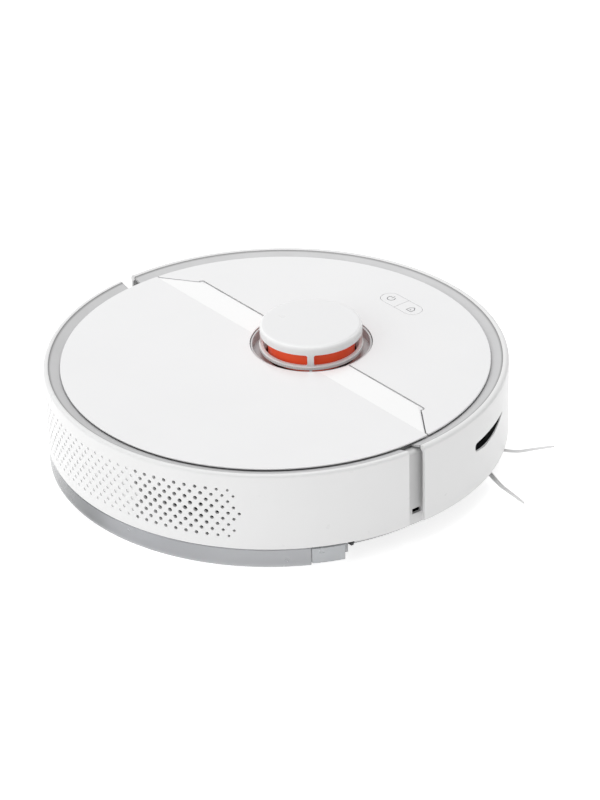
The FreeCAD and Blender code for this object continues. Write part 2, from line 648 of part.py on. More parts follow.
def make_fan():
    """Volute housing open towards the vents, with its impeller."""
    shell = tube(36.0, 34.0, 24.0, 66.0, FAN_X, FAN_Y)
    base = cyl(36.0, 22.0, 24.2, FAN_X, FAN_Y)
    top = tube(36.0, 10.0, 64.0, 66.0, FAN_X, FAN_Y)
    motor = cyl(16.0, 24.0, 38.0, FAN_X, FAN_Y)
    outlet = box(20, 50, -15, 15, 40, 62)
    outlet.rotate(Vector(0, 0, 0), Vector(0, 0, 1), -55)
    outlet.translate(Vector(FAN_X, FAN_Y, 0))
    duct = box(58.4, 70, -104, -64, 30, 62).cut(cyl(35, 0, 100, FAN_X, FAN_Y))
    intake = box(50, 74, -102, -66, 32, 60)
    housing = join(shell, base, top, motor, duct).cut(outlet)
    housing = housing.cut(intake.cut(cyl(30.5, 0, 100, FAN_X, FAN_Y)))
    housing = housing.cut(cyl(2.0 + RUN, 30.0, 100, FAN_X, FAN_Y))
    save("fan_housing", housing)
    wheel = join(cyl(29.0, 42.0, 43.6, FAN_X, FAN_Y), cyl(8.0, 43.0, 58.0, FAN_X, FAN_Y),
                 cyl(2.0, 30.5, 42.5, FAN_X, FAN_Y))
    blades = []
    for k in range(9):
        blade = box(7, 28.5, -0.7, 0.7, 43.0, 57.0)
        blade.rotate(Vector(7, 0, 0), Vector(0, 0, 1), 32)
        blade = blade.common(cyl(28.6, 40, 60))
        blade.rotate(Vector(0, 0, 0), Vector(0, 0, 1), 40 * k)
        blade.translate(Vector(FAN_X, FAN_Y, 0))
        blades.append(blade)
    save("fan_impeller", join(wheel, *blades))


def train_spot(distance):
    """Point (y, z) on the line of the brush gears, at a distance from the brush's axis."""
    a = math.radians(TRAIN_ANGLE)
    return BRUSH_Y + distance * math.cos(a), BRUSH_Z + distance * math.sin(a)


def make_main_brush():
    """Half-round chamber, brush with its fins, motor, and the three gears between them."""
    x0, x1 = CHAMBER_X
    outer = CHAMBER_R + 2.2
    shell = xcyl(outer, x0, x1, BRUSH_Y, BRUSH_Z)
    shell = shell.fuse(box(x0, x1, BRUSH_Y - outer, BRUSH_Y + outer, 12.4, BRUSH_Z))
    inside = xcyl(CHAMBER_R, x0 + 2, x1 - 2, BRUSH_Y, BRUSH_Z)
    inside = inside.fuse(box(x0 + 2, x1 - 2, BRUSH_Y - CHAMBER_R, BRUSH_Y + CHAMBER_R, 0,
                             BRUSH_Z))
    duct = box(-48, 28, -33.4, -8, 28, 58)
    duct_inside = box(-46, 26, -40, -6, 30, 56)
    feet = [cyl(5, 44, 64.5, x, 6) for x in (-34, 34)]
    chamber = shell.common(box(-200, 200, -200, 200, 12.4, 200)).fuse([duct] + feet)
    chamber = chamber.cut(inside).cut(duct_inside)
    chamber = chamber.cut(xcyl(3.0 + RUN, x0 - 1, x1 + 1, BRUSH_Y, BRUSH_Z))
    brush_teeth, idler_teeth, pinion_teeth = BRUSH_TEETH
    idler_way = MODULE * (brush_teeth + idler_teeth) / 2
    pinion_way = idler_way + MODULE * (idler_teeth + pinion_teeth) / 2
    idler_y, idler_z = train_spot(idler_way)
    pinion_y, pinion_z = train_spot(pinion_way)
    bracket = side_prism([(22, 20, 3), (54, 20, 3), (54, 54, 3), (14, 54, 3)], x0, x0 + 2.0)
    bracket = bracket.cut(xcyl(2.6, x0 - 1, x0 + 5, pinion_y, pinion_z))
    post = xcyl(2.0, GEAR_X - 0.4, x0 + 1, idler_y, idler_z)
    chamber = chamber.fuse([bracket, post])
    save("brush_chamber", chamber.removeSplitter())

    core = xcyl(8.0, x0 + 3.2, x1 - 3.2, BRUSH_Y, BRUSH_Z)
    shaft = xcyl(3.0, GEAR_X - 0.6, x1 - 0.4, BRUSH_Y, BRUSH_Z)
    drive = lay_along_x(gear(brush_teeth, GEAR_T, TRAIN_ANGLE, 0), GEAR_X, BRUSH_Y, BRUSH_Z)
    save("main_brush_core", join(core, shaft, drive))
    fins = []
    for k in range(6):
        fin = box(x0 + 4, x1 - 4, 8.0, BRUSH_R, -0.9, 0.9)
        fin = fin.cut(xcyl(8.0, x0, x1, 0, 0))
        fin.rotate(Vector(0, 0, 0), Vector(1, 0, 0), 60 * k + 30)
        fin.translate(Vector(0, BRUSH_Y, BRUSH_Z))
        fins.append(fin)
    save("main_brush_fins", *fins)

    # The idler has a gap towards the brush and, half a turn on, a gap towards the motor.
    back = TRAIN_ANGLE + 180
    idler = gear(idler_teeth, GEAR_T, back + 180 / idler_teeth, 2.0 + RUN)
    save("brush_idler_gear", lay_along_x(idler, GEAR_X, idler_y, idler_z))
    pinion = gear(pinion_teeth, GEAR_T, back, 0)
    pinion = lay_along_x(pinion, GEAR_X, pinion_y, pinion_z)
    save("brush_pinion", join(pinion, xcyl(1.5, GEAR_X, x0 + 1.5, pinion_y, pinion_z)))
    motor = xcyl(11.0, x0 + 2.1, x0 + 42, pinion_y, pinion_z)
    save("brush_motor", motor)

    cover = box(-87.6, 86.0, -26.0, 30.0, 8.6, 10.6)
    cover = cover.cut(box(x0 + 2.5, x1 - 2.5, BRUSH_Y - 20.0, BRUSH_Y + 20.0, 5, 15))
    for x in (-60, 60):
        cover = cover.fuse(prism([(x - 9, 27, 2), (x + 9, 27, 2), (x + 9, 34, 2),
                                  (x - 9, 34, 2)], 8.2, 9.9))
    save("brush_cover", cover.removeSplitter())


def make_side_brush():
    """Five-armed corner brush on its geared shaft, with the motor's pinion and the motor."""
    hub = lathe([(0, 6.6, 0), (13, 6.6, 1.5), (16, 9.0, 0.8), (16, 12.4, 0.5), (0, 12.4, 0)],
                x=SIDE_X, y=SIDE_Y)
    shaft = cyl(3.0, 12.0, 21.4, SIDE_X, SIDE_Y)
    inward = math.degrees(math.atan2(-SIDE_Y, -SIDE_X))
    side_teeth, motor_teeth = SIDE_TEETH
    big = gear(side_teeth, 4.0, inward, 0)
    big.translate(Vector(SIDE_X, SIDE_Y, 16.6))
    save("side_brush_hub", join(hub, shaft, big))
    arms = []
    for k in range(5):
        sections = []
        for r, width, low, high in [(12.0, 7.0, 7.8, 10.6), (40.0, 5.0, 3.4, 5.6),
                                    (SIDE_ARM_R, 2.6, 1.0, 2.2)]:
            points = [Vector(r, -width / 2, low), Vector(r, width / 2, low),
                      Vector(r, width / 2, high), Vector(r, -width / 2, high)]
            sections.append(Part.makePolygon(points + points[:1]))
        arm = Part.makeLoft(sections, True, True).cut(cyl(16.0, 0, 20))
        arm.rotate(Vector(0, 0, 0), Vector(0, 0, 1), SIDE_PHASE + 72 * k)
        arm.translate(Vector(SIDE_X, SIDE_Y, 0))
        arms.append(arm)
    save("side_brush_arms", *arms)
    spot = polar(MODULE * (side_teeth + motor_teeth) / 2, inward, 0, SIDE_X, SIDE_Y)
    small = gear(motor_teeth, 4.0, inward + 180 + 180 / motor_teeth, 0)
    small.translate(Vector(spot.x, spot.y, 16.6))
    save("side_brush_pinion", join(small, cyl(1.5, 16.6, 23.0, spot.x, spot.y)))
    housing = join(cyl(10.0, 22.4, 46.0, spot.x, spot.y), cyl(20.0, 21.8, 24.0, SIDE_X, SIDE_Y),
                   tube(21.0, 19.0, 15.5, 24.0, SIDE_X, SIDE_Y))
    housing = housing.cut(cyl(7.0, 15, 21.8, spot.x, spot.y))
    housing = housing.cut(cyl(1.6, 20, 24.5, spot.x, spot.y))
    save("side_brush_motor", housing.cut(cyl(21.5, 0, 16.0, SIDE_X, SIDE_Y)))


# ---- Running gear -------------------------------------------------------------------------
def wheel_parts():
    """Right wheel's arm, hub, tyre and well."""
    py, pz = ARM_PIVOT
    x0, x1 = ARM_X
    arm = side_prism([(-15, WHEEL_R - 15, 13), (-15, WHEEL_R + 15, 13), (py + 10, pz + 10, 9.0),
                      (py + 10, pz - 10, 9.0)], x0, x1)
    motor = xcyl(9.0, x1 - 1, WHEEL_X[1], py, pz)
    pin = xcyl(3.0, x0 - 2.0, WHEEL_X[1] + 4.0, py, pz)
    arm = join(arm, motor, pin).cut(xcyl(4.0 + RUN, x0 - 1, x1 + 1, 0, WHEEL_R))
    hub = lathe([(0, 0, 0), (24.0, 0, 1.0), (24.0, 22.0, 1.0), (20, 22.0, 0.5), (18.0, 19.5, 0.5),
                 (0, 19.5, 0)])
    for k in range(5):
        spot = polar(12.5, 72 * k)
        hub = hub.cut(cyl(3.6, 15, 30, spot.x, spot.y))
    hub = lay_along_x(hub, WHEEL_X[0], 0, WHEEL_R)
    hub = join(hub, xcyl(4.0, x0 + 0.4, WHEEL_X[0] + 1, 0, WHEEL_R))
    tyre = lathe([(24.0, 0, 0.8), (WHEEL_R, 0, 2.0), (WHEEL_R, 22.0, 2.0), (24.0, 22.0, 0.8)])
    grooves = []
    for k in range(20):
        angle = 18 * k + 9
        for low, high, lead in [(-1, 10.4, 0), (11.6, 23, 9)]:
            groove = Part.makeBox(3.0, 3.4, high - low, Vector(WHEEL_R - 1.8, -1.7, low))
            groove.rotate(Vector(0, 0, 0), Vector(0, 0, 1), angle + lead)
            grooves.append(groove)
    tyre = tyre.cut(Part.makeCompound(grooves))
    tyre = lay_along_x(tyre, WHEEL_X[0], 0, WHEEL_R)
    well = box(88.6, 127.4, -38.4, 60.0, 12.4, 71.6).cut(box(90.0, 126.0, -37.0, 58.6, 0, 70.2))
    well = well.cut(xcyl(3.0 + RUN, 80, 140, py, pz))
    return arm.removeSplitter(), hub, tyre, well


def make_wheels():
    """Both drive wheels with their sprung arms and wells."""
    arm, hub, tyre, well = wheel_parts()
    arm = arm.cut(xcyl(5.0, ARM_X[0] - 0.5, ARM_X[0] + 0.35, 0, WHEEL_R))
    for name, shape in [("wheel_arm", arm), ("wheel_hub", hub), ("tyre", tyre)]:
        save("right_" + name, shape)
        save("left_" + name, mirror_x(shape))
    save("wheel_wells", *both_sides(well))


def make_caster():
    """Swivelling fork with its wheel."""
    wheel_y = CASTER_Y - 6.0
    dome = lathe([(0, 22.0, 0), (15.0, 22.0, 1.0), (15.0, 27.4, 2.0), (0, 27.4, 0)],
                 y=CASTER_Y)
    stem = cyl(4.0, 26.0, 41.0, 0, CASTER_Y)
    cheeks = []
    for x0, x1 in ((-11.0, -8.2), (8.2, 11.0)):
        cheeks.append(side_prism([(wheel_y - 5, 6.5, 4), (wheel_y + 5, 6.5, 4),
                                  (CASTER_Y + 9, 23, 0.5), (wheel_y - 6, 23, 0.5)], x0, x1))
    axle = xcyl(1.5, -9, 9, wheel_y, 12.0)
    fork = join(dome, stem, *cheeks)
    wheel_space = xcyl(13.0, -7.9, 7.9, wheel_y, 12.0)
    fork = fork.cut(wheel_space.common(box(-20, 20, 0, 200, 0, 25.2)))
    save("caster_fork", join(fork, axle))
    wheel = lay_along_x(lathe([(1.5 + RUN, 0, 0), (12.0, 0, 2.0), (12.0, 14.0, 2.0),
                               (1.5 + RUN, 14.0, 0)]), -7.0, wheel_y, 12.0)
    save("caster_wheel", wheel)


# ---- Mopping ------------------------------------------------------------------------------
def tank_plan(radius, front, z0, z1):
    """D-shaped block behind a straight front edge."""
    return cyl(radius, z0, z1).common(box(-200, 200, -200, front, 0, 100))


def make_tank():
    """Hollow water tank with its filler, plug, two side latches and the mop cloth."""
    low, high = TANK_Z
    body = tank_plan(TANK_R, TANK_Y, low, high)
    rim = []
    for edge in body.Edges:
        curve = edge.Curve
        if isinstance(curve, Part.Circle) and abs(curve.Radius - TANK_R) < 0.01:
            rim.append(edge)
    body = body.makeFillet(1.0, rim)
    notch = sector(163.4, 190, 0, 30, (-30.9, -10))
    for cutter in both_sides(notch):
        body = body.cut(cutter)
    cavity = tank_plan(161.6, TANK_Y - 2.0, low + 1.6, high - 1.6)
    filler = cyl(7.0, 10, 30, 60, -84)
    body = body.cut(cavity).cut(filler)
    save("water_tank", body)
    plug = cyl(6.9, high - 1.6, high, 60, -84).fuse(cyl(5.0, high - 4.0, high - 1.4, 60, -84))
    save("tank_plug", plug.removeSplitter())
    latch = sector(166.2, TANK_R + 0.4, 6.0, 18.4, LATCH_ANGLES)
    upright = [e for e in latch.Edges
               if abs(e.Vertexes[0].Z - e.Vertexes[-1].Z) > 5
               and math.hypot(e.CenterOfMass.x, e.CenterOfMass.y) > 170]
    latch = latch.makeFillet(1.5, upright)
    save("right_tank_latch", latch)
    save("left_tank_latch", mirror_x(latch))
    cloth = tank_plan(CLOTH_R, TANK_Y - 6, 0, low)
    save("mop_cloth", cloth.makeFillet(1.4, [e for e in cloth.Edges if e.BoundBox.ZMax < 0.01]))


def main():
    os.makedirs("parts", exist_ok=True)
    make_rear_shell()
    make_bumper()
    make_deck()
    make_keys()
    make_lid()
    make_inner_deck()
    make_inner_wall()
    make_pan()
    make_pan_fittings()
    make_tower()
    make_battery_and_board()
    make_dust_bin()
    make_fan()
    make_main_brush()
    make_side_brush()
    make_wheels()
    make_caster()
    make_tank()


main()
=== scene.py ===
"""Robot vacuum: the finish of every part, its soft and fine pieces, and a plain studio."""
import math

import bmesh
import bpy
import numpy as np
from bpy.props import FloatProperty, FloatVectorProperty, IntProperty, PointerProperty
from mathutils import Matrix, Vector


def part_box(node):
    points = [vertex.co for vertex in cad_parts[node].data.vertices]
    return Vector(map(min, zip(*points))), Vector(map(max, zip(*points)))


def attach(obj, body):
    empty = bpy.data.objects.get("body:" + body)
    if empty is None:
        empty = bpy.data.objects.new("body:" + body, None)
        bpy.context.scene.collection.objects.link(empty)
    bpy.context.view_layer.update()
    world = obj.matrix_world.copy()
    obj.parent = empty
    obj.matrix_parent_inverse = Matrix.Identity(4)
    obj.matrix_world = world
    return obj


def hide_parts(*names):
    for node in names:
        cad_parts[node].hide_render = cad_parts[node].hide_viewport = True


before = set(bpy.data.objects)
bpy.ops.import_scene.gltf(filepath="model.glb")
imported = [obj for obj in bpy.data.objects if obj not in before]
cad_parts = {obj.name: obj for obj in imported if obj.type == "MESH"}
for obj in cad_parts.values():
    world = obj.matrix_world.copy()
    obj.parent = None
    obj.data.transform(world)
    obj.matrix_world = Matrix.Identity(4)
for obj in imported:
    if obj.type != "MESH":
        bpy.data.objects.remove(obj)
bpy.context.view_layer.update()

bl_info = {
    "name": "Robot Vacuum Workshop",
    "version": (1, 0, 0),
    "blender": (4, 5, 0),
    "location": "View3D > Sidebar > Vacuum",
    "description": "Finishes, brushes, mop cloth, key symbols and studio of a robot vacuum",
    "category": "Object",
}

MM = 0.001


# ---- Settings -----------------------------------------------------------------------------
def colour(name, description, default):
    """Colour property with linear red, green and blue."""
    return FloatVectorProperty(name=name, description=description, default=default,
                               subtype="COLOR", size=3, min=0.0, max=1.0)


def length(name, description, default):
    """Length property in metres."""
    return FloatProperty(name=name, description=description, default=default, unit="LENGTH",
                         subtype="DISTANCE", precision=5, min=0.0)


def angle(name, description, degrees):
    """Angle property, its default given in degrees."""
    return FloatProperty(name=name, description=description, default=math.radians(degrees),
                         unit="ROTATION", subtype="ANGLE")


class VacuumFinishes(bpy.types.PropertyGroup):
    """Colours of the visible plastics and rubbers."""
    shell: colour("Shell", "White of the outer walls", (0.77, 0.77, 0.77))
    deck: colour("Deck", "Very light grey of the round deck and lid", (0.835, 0.835, 0.84))
    band: colour("Band", "Bright white of the lid's band", (0.94, 0.94, 0.94))
    # Painted shade: the sloped ring is white plastic, given this grey for the shade of its inward
    # slope.
    trim: colour("Trim", "Satin grey of the sloped ring round the deck", (0.57, 0.57, 0.575))
    inner: colour("Inner wall", "Grey of the wall behind the bumper", (0.70, 0.70, 0.70))
    rotor: colour("Rotor", "Red orange of the laser's rotor", (1.0, 0.115, 0.04))
    # Painted glow: the rotor gives off light of its own colour though it is no lamp, so that it
    # looks bright in the guard's shade.
    painted_glow: FloatProperty(name="Rotor glow", description="Light of the rotor's fluorescent pigment",
                        default=0.10, min=0.0, max=1.0)
    tank: colour("Tank", "Tint of the smoky water tank", (0.60, 0.61, 0.64))
    arm: colour("Brush arms", "Pale silicone of the side brush", (0.86, 0.86, 0.86))
    cloth: colour("Mop cloth", "Grey of the microfibre", (0.33, 0.35, 0.38))


class VacuumDetails(bpy.types.PropertyGroup):
    """Sizes of the pieces that are worked out here."""
    symbol_size: length("Symbol size", "Width of a printed key symbol", 7.4 * MM)
    symbol_line: length("Symbol line", "Width of a printed line", 0.75 * MM)
    arm_root: length("Arm root width", "Width of a side brush arm at the hub", 5.2 * MM)
    arm_tip: length("Arm tip width", "Width of a side brush arm at its tip", 2.3 * MM)
    arm_thickness: length("Arm thickness", "Thickness of a side brush arm", 1.9 * MM)
    chevron: angle("Chevron", "Turn of a brush fin from its middle to its end", 52.0)
    tufts: IntProperty(name="Tufts", description="Bristle tufts in a row of the main brush",
                       default=64, min=8, max=120)
    pile: length("Pile", "Height of the mop cloth's loops", 0.5 * MM)


class VacuumStudio(bpy.types.PropertyGroup):
    """Camera, light and floor."""
    azimuth: angle("Azimuth", "Camera's turn round the object, from the rear", 51.4)
    elevation: angle("Elevation", "Camera's height above the horizon", 30.19)
    roll: angle("Roll", "Camera's turn about its own axis", -1.35)
    distance: length("Distance", "Camera's distance from its target", 2.415)
    target: FloatVectorProperty(name="Target", description="Point that the camera looks at",
                                default=(0.0226, 0.0047, 0.05), subtype="XYZ", unit="LENGTH")
    lens: FloatProperty(name="Lens", description="Focal length for a 36 mm sensor",
                        default=144.0, unit="CAMERA", min=1.0)
    sky: FloatProperty(name="Sky", description="Strength of the even white surround",
                       default=0.64, min=0.0)
    card: FloatProperty(name="Grey card", description="Share of the surround left at the right",
                        default=0.50, min=0.0, max=1.0)
    overhead: FloatProperty(name="Overhead", description="Power of the softbox above",
                            default=23.0, unit="POWER", min=0.0)
    side: FloatProperty(name="Side", description="Power of the softbox at the left",
                        default=9.0, unit="POWER", min=0.0)
    table: FloatProperty(name="Light table", description="Light given off by the floor",
                         default=0.78, min=0.0)


# ---- Materials ----------------------------------------------------------------------------
class Finish:
    """A material being built on the Principled shader, with patterns in object coordinates."""

    def __init__(self, name, base, roughness, **sockets):
        self.material = bpy.data.materials.new(name)
        self.material.use_nodes = True
        self.tree = self.material.node_tree
        self.shader = self.tree.nodes["Principled BSDF"]
        self.base, self.roughness = tuple(base), roughness
        self.shader.inputs["Base Color"].default_value = (*self.base, 1.0)
        self.shader.inputs["Roughness"].default_value = roughness
        for socket, value in sockets.items():
            self.shader.inputs[socket.replace("_", " ")].default_value = value
        self.places = self.node("ShaderNodeTexCoord").outputs["Object"]
        self.height = None

    def node(self, kind, **settings):
        """New node with some of its settings."""
        made = self.tree.nodes.new(kind)
        for key, value in settings.items():
            setattr(made, key, value)
        return made

    def put(self, socket, value):
        """Give a socket a value, or link it to another node's output."""
        if isinstance(value, bpy.types.NodeSocket):
            self.tree.links.new(value, socket)
        else:
            socket.default_value = value

    def stretched(self, scale, turn=(0, 0, 0)):
        """Object coordinates, scaled and turned."""
        mapping = self.node("ShaderNodeMapping")
        self.put(mapping.inputs["Vector"], self.places)
        mapping.inputs["Scale"].default_value = scale
        mapping.inputs["Rotation"].default_value = turn
        return mapping.outputs["Vector"]

    def noise(self, size, detail=2.0, rough=0.5, vector=None):
        """Noise whose blots are about size metres wide."""
        made = self.node("ShaderNodeTexNoise")
        self.put(made.inputs["Vector"], vector or self.places)
        made.inputs["Scale"].default_value = 1.0 / size
        made.inputs["Detail"].default_value = detail
        made.inputs["Roughness"].default_value = rough
        return made.outputs["Fac"]

    def cells(self, size, feature="F1"):
        """Distance to scattered points about size metres apart."""
        made = self.node("ShaderNodeTexVoronoi", feature=feature)
        self.put(made.inputs["Vector"], self.places)
        made.inputs["Scale"].default_value = 1.0 / size
        return made.outputs["Distance"]

    def wave(self, pitch, axis, distortion=0.0):
        """Sine bands that repeat every pitch metres along an axis."""
        made = self.node("ShaderNodeTexWave", wave_type="BANDS", bands_direction=axis,
                         wave_profile="SIN")
        self.put(made.inputs["Vector"], self.places)
        made.inputs["Scale"].default_value = math.pi / (10.0 * pitch)
        made.inputs["Distortion"].default_value = distortion
        made.inputs["Detail"].default_value = 1.0
        return made.outputs["Fac"]

    def axis(self, name):
        """One object coordinate."""
        made = self.node("ShaderNodeSeparateXYZ")
        self.put(made.inputs["Vector"], self.places)
        return made.outputs[name]

    def radius(self, x=0.0, y=0.0):
        """Distance from the upright axis through (x, y)."""
        away = [self.maths("SUBTRACT", self.axis("X"), x),
                self.maths("SUBTRACT", self.axis("Y"), y)]
        squares = [self.maths("MULTIPLY", part, part) for part in away]
        return self.maths("SQRT", self.maths("ADD", *squares))

    def maths(self, operation, first, second=0.0, third=0.0):
        """Arithmetic on values or outputs."""
        made = self.node("ShaderNodeMath", operation=operation)
        for socket, value in zip(made.inputs, (first, second, third)):
            self.put(socket, value)
        return made.outputs["Value"]

    def spread(self, value, low, high, start=0.0, end=1.0):
        """Map a value from start to end onto low to high, held at the limits."""
        made = self.node("ShaderNodeMapRange")
        self.put(made.inputs["Value"], value)
        made.inputs["From Min"].default_value = start
        made.inputs["From Max"].default_value = end
        made.inputs["To Min"].default_value = low
        made.inputs["To Max"].default_value = high
        return made.outputs["Result"]

    def blend(self, factor, first, second):
        """Mix two colours."""
        made = self.node("ShaderNodeMix", data_type="RGBA")
        self.put(made.inputs["Factor"], factor)
        colours = [socket for socket in made.inputs if socket.type == "RGBA"]
        for socket, value in zip(colours, (first, second)):
            self.put(socket, value if isinstance(value, bpy.types.NodeSocket) else (*value, 1.0))
        return next(socket for socket in made.outputs if socket.type == "RGBA")

    def tint(self, factor, amount, other=None):
        """Move the base colour towards another colour, or a darker one, by a factor."""
        now = self.shader.inputs["Base Color"]
        first = now.links[0].from_socket if now.links else tuple(now.default_value)[:3]
        second = other or tuple(c * (1.0 - amount) for c in self.base)
        share = factor if other is None else self.maths("MULTIPLY", factor, amount)
        self.put(now, self.blend(share, first, second))

    def polish(self, factor, change):
        """Vary the roughness, by the change either way at factors of 1/4 and 3/4."""
        self.put(self.shader.inputs["Roughness"],
                 self.spread(factor, max(0.02, self.roughness - 2 * change),
                             self.roughness + 2 * change))

    def raise_by(self, factor, depth):
        """Add a relief of some depth in metres to the bump."""
        part = self.maths("MULTIPLY", factor, depth)
        self.height = part if self.height is None else self.maths("ADD", self.height, part)

    def done(self, edge=0.0):
        """Wire the relief, over edges rounded by a radius in metres, and return the material."""
        rounded = None
        if edge > 0:
            bevel = self.node("ShaderNodeBevel", samples=4)
            bevel.inputs["Radius"].default_value = edge
            rounded = bevel.outputs["Normal"]
        if self.height is not None:
            bump = self.node("ShaderNodeBump")
            bump.inputs["Strength"].default_value = 1.0
            bump.inputs["Distance"].default_value = 1.0
            self.put(bump.inputs["Height"], self.height)
            if rounded is not None:
                self.put(bump.inputs["Normal"], rounded)
            rounded = bump.outputs["Normal"]
        if rounded is not None:
            self.put(self.shader.inputs["Normal"], rounded)
        return self.material

    def tint_edges(self, radius, amount, shade):
        """Lighten or darken the outer edges, found where a rounded normal leaves the true one.
        This is wear on the grained mouldings and the tyre, painted shade on the white shell and a
        painted highlight on the tank.
        """
        bevel = self.node("ShaderNodeBevel", samples=4)
        bevel.inputs["Radius"].default_value = radius
        true = self.node("ShaderNodeNewGeometry").outputs["Normal"]
        dot = self.node("ShaderNodeVectorMath", operation="DOT_PRODUCT")
        self.put(dot.inputs[0], bevel.outputs["Normal"])
        self.put(dot.inputs[1], true)
        edge_share = self.spread(dot.outputs["Value"], 1.0, 0.0, 0.80, 0.985)
        broken = self.maths("MULTIPLY", edge_share, self.spread(self.noise(3 * MM, 3.0), 0.2, 1.0,
                                                            0.35, 0.65))
        self.tint(broken, amount, shade)


def gloss_plastic(name, base, roughness, coat, ior=1.5):
    """Polished moulding: faint flow marks, cloudy polish, soft orange peel."""
    f = Finish(name, base, roughness, Coat_Weight=coat, Coat_Roughness=0.06, IOR=ior)
    f.tint(f.noise(60 * MM, 3.0), 0.035)
    f.polish(f.noise(14 * MM, 4.0), 0.03)
    f.raise_by(f.noise(2.2 * MM, 1.0), 0.010 * MM)
    f.raise_by(f.noise(0.35 * MM, 1.0), 0.0012 * MM)
    return f


def grained_plastic(name, base, roughness, grain=0.45 * MM, depth=0.02 * MM, wear=0.0):
    """Etched moulding: fine leathery grain, cloudy sheen, rubbed edges."""
    f = Finish(name, base, roughness, IOR=1.48)
    f.tint(f.noise(25 * MM, 4.0), 0.10)
    pits = f.cells(grain, "SMOOTH_F1")
    f.polish(f.noise(6 * MM, 3.0), 0.08)
    f.raise_by(pits, depth)
    f.raise_by(f.noise(grain * 3, 2.0), depth * 0.6)
    if wear:
        f.tint_edges(0.7 * MM, wear, tuple(min(1.0, 2.2 * c + 0.05) for c in base))
    return f


def rubber(name, base, roughness, dust):
    """Matt rubber: speckled bloom, dusty blotches, pitted skin."""
    f = Finish(name, base, roughness, IOR=1.45, Sheen_Weight=0.15, Sheen_Roughness=0.6)
    f.tint(f.spread(f.noise(7 * MM, 5.0, 0.65), 0.0, 1.0, 0.42, 0.72), dust,
           tuple(0.6 * c + 0.16 for c in base))
    f.polish(f.noise(2.5 * MM, 3.0), 0.1)
    f.raise_by(f.noise(0.5 * MM, 3.0), 0.03 * MM)
    f.raise_by(f.cells(1.3 * MM), 0.015 * MM)
    return f


def clear_plastic(name, tint, roughness, through, depth):
    """Tinted clear moulding: frosted inside, soft flow lines."""
    f = Finish(name, tint, roughness, Transmission_Weight=through, IOR=1.49, Coat_Weight=0.25,
               Coat_Roughness=0.08)
    f.tint(f.noise(40 * MM, 3.0), 0.10)
    f.polish(f.noise(9 * MM, 4.0), 0.06)
    f.raise_by(f.noise(3.0 * MM, 2.0), depth)
    return f


def smoky_tank(tint):
    """Milky tank: painted shade darkens its left half, where it is backed by the inner walls;
    painted light makes a paler stretch to the right, lighter edges and a pale ground edge.

    The two changes of tone run across the tank, and their places wander by the noise.
    """
    dark_until, mid_from, mid_until, pale_from = 15 * MM, 50 * MM, 90 * MM, 130 * MM
    wander, ground_low, ground_high = 30 * MM, 1.2 * MM, 3.0 * MM
    f = clear_plastic("smoky_tank", tint, 0.22, 0.45, 0.05 * MM)
    across = f.maths("ADD", f.axis("X"), f.maths("MULTIPLY", f.noise(50 * MM, 2.0), wander))
    # Painted shade on the left half, for the dark inner walls behind it; painted light on a paler
    # stretch further right.
    f.tint(f.spread(across, 1.0, 0.0, dark_until, mid_from), 0.9, (0.24, 0.25, 0.26))
    f.tint(f.spread(across, 0.0, 1.0, mid_until, pale_from), 0.5, (0.72, 0.73, 0.75))
    # Painted highlight: the tank's edges are lightened, for light carried through its rims.
    f.tint_edges(0.9 * MM, 0.6, (0.85, 0.86, 0.87))
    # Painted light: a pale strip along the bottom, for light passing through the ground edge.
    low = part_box("water_tank")[0].z
    f.tint(f.spread(f.axis("Z"), 1.0, 0.0, low + ground_low, low + ground_high), 0.6,
           (0.80, 0.81, 0.82))
    return f.done(0.4 * MM)


def pale_latch():
    """Milky latch with a smoky frame line along its edges."""
    f = clear_plastic("pale_latch", (0.66, 0.68, 0.70), 0.30, 0.35, 0.03 * MM)
    f.tint_edges(1.2 * MM, 1.0, (0.10, 0.105, 0.11))
    return f.done(0.4 * MM)


def sensor_window():
    """Black infrared window that hardly reflects; its lower margin is a pale ledge.

    The ledge follows the opening's lower edge, whose height is a parabola of the distance u
    along the wall from the opening's middle: height + slope * u + bend * u * u.
    """
    middle, height, slope, bend = math.radians(25.5), 50.2 * MM, 0.12, 6.6
    ledge_height, front_depth = 0.9 * MM, 2.0 * MM
    f = Finish("sensor_black_window", (0.002, 0.002, 0.0025), 0.5, IOR=1.03)
    f.tint(f.noise(6 * MM, 3.0), 0.3)
    f.polish(f.noise(4 * MM, 3.0), 0.1)
    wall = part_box("bumper_shell")[1].x
    turn = f.maths("ARCTAN2", f.axis("Y"), f.axis("X"))
    u = f.maths("MULTIPLY", f.maths("SUBTRACT", turn, middle), wall)
    edge = f.maths("MULTIPLY_ADD", f.maths("MULTIPLY_ADD", u, bend, slope), u, height)
    ledge = f.maths("LESS_THAN", f.axis("Z"), f.maths("ADD", edge, ledge_height))
    outside = f.maths("GREATER_THAN", f.radius(), wall - front_depth)
    f.tint(f.maths("MULTIPLY", ledge, outside), 1.0, (0.52, 0.52, 0.52))
    f.raise_by(f.noise(2 * MM, 2.0), 0.01 * MM)
    return f.done(0.2 * MM)


def brushed_metal(name, base, roughness, along):
    """Drawn or turned metal: fine lines along one axis, smudges."""
    f = Finish(name, base, roughness, Metallic=1.0, Anisotropic=0.35)
    lines = f.stretched(along)
    f.tint(f.noise(1.2 * MM, 3.0, 0.6, lines), 0.22)
    f.polish(f.noise(5 * MM, 4.0), 0.09)
    f.raise_by(f.noise(0.5 * MM, 3.0, 0.6, lines), 0.012 * MM)
    return f


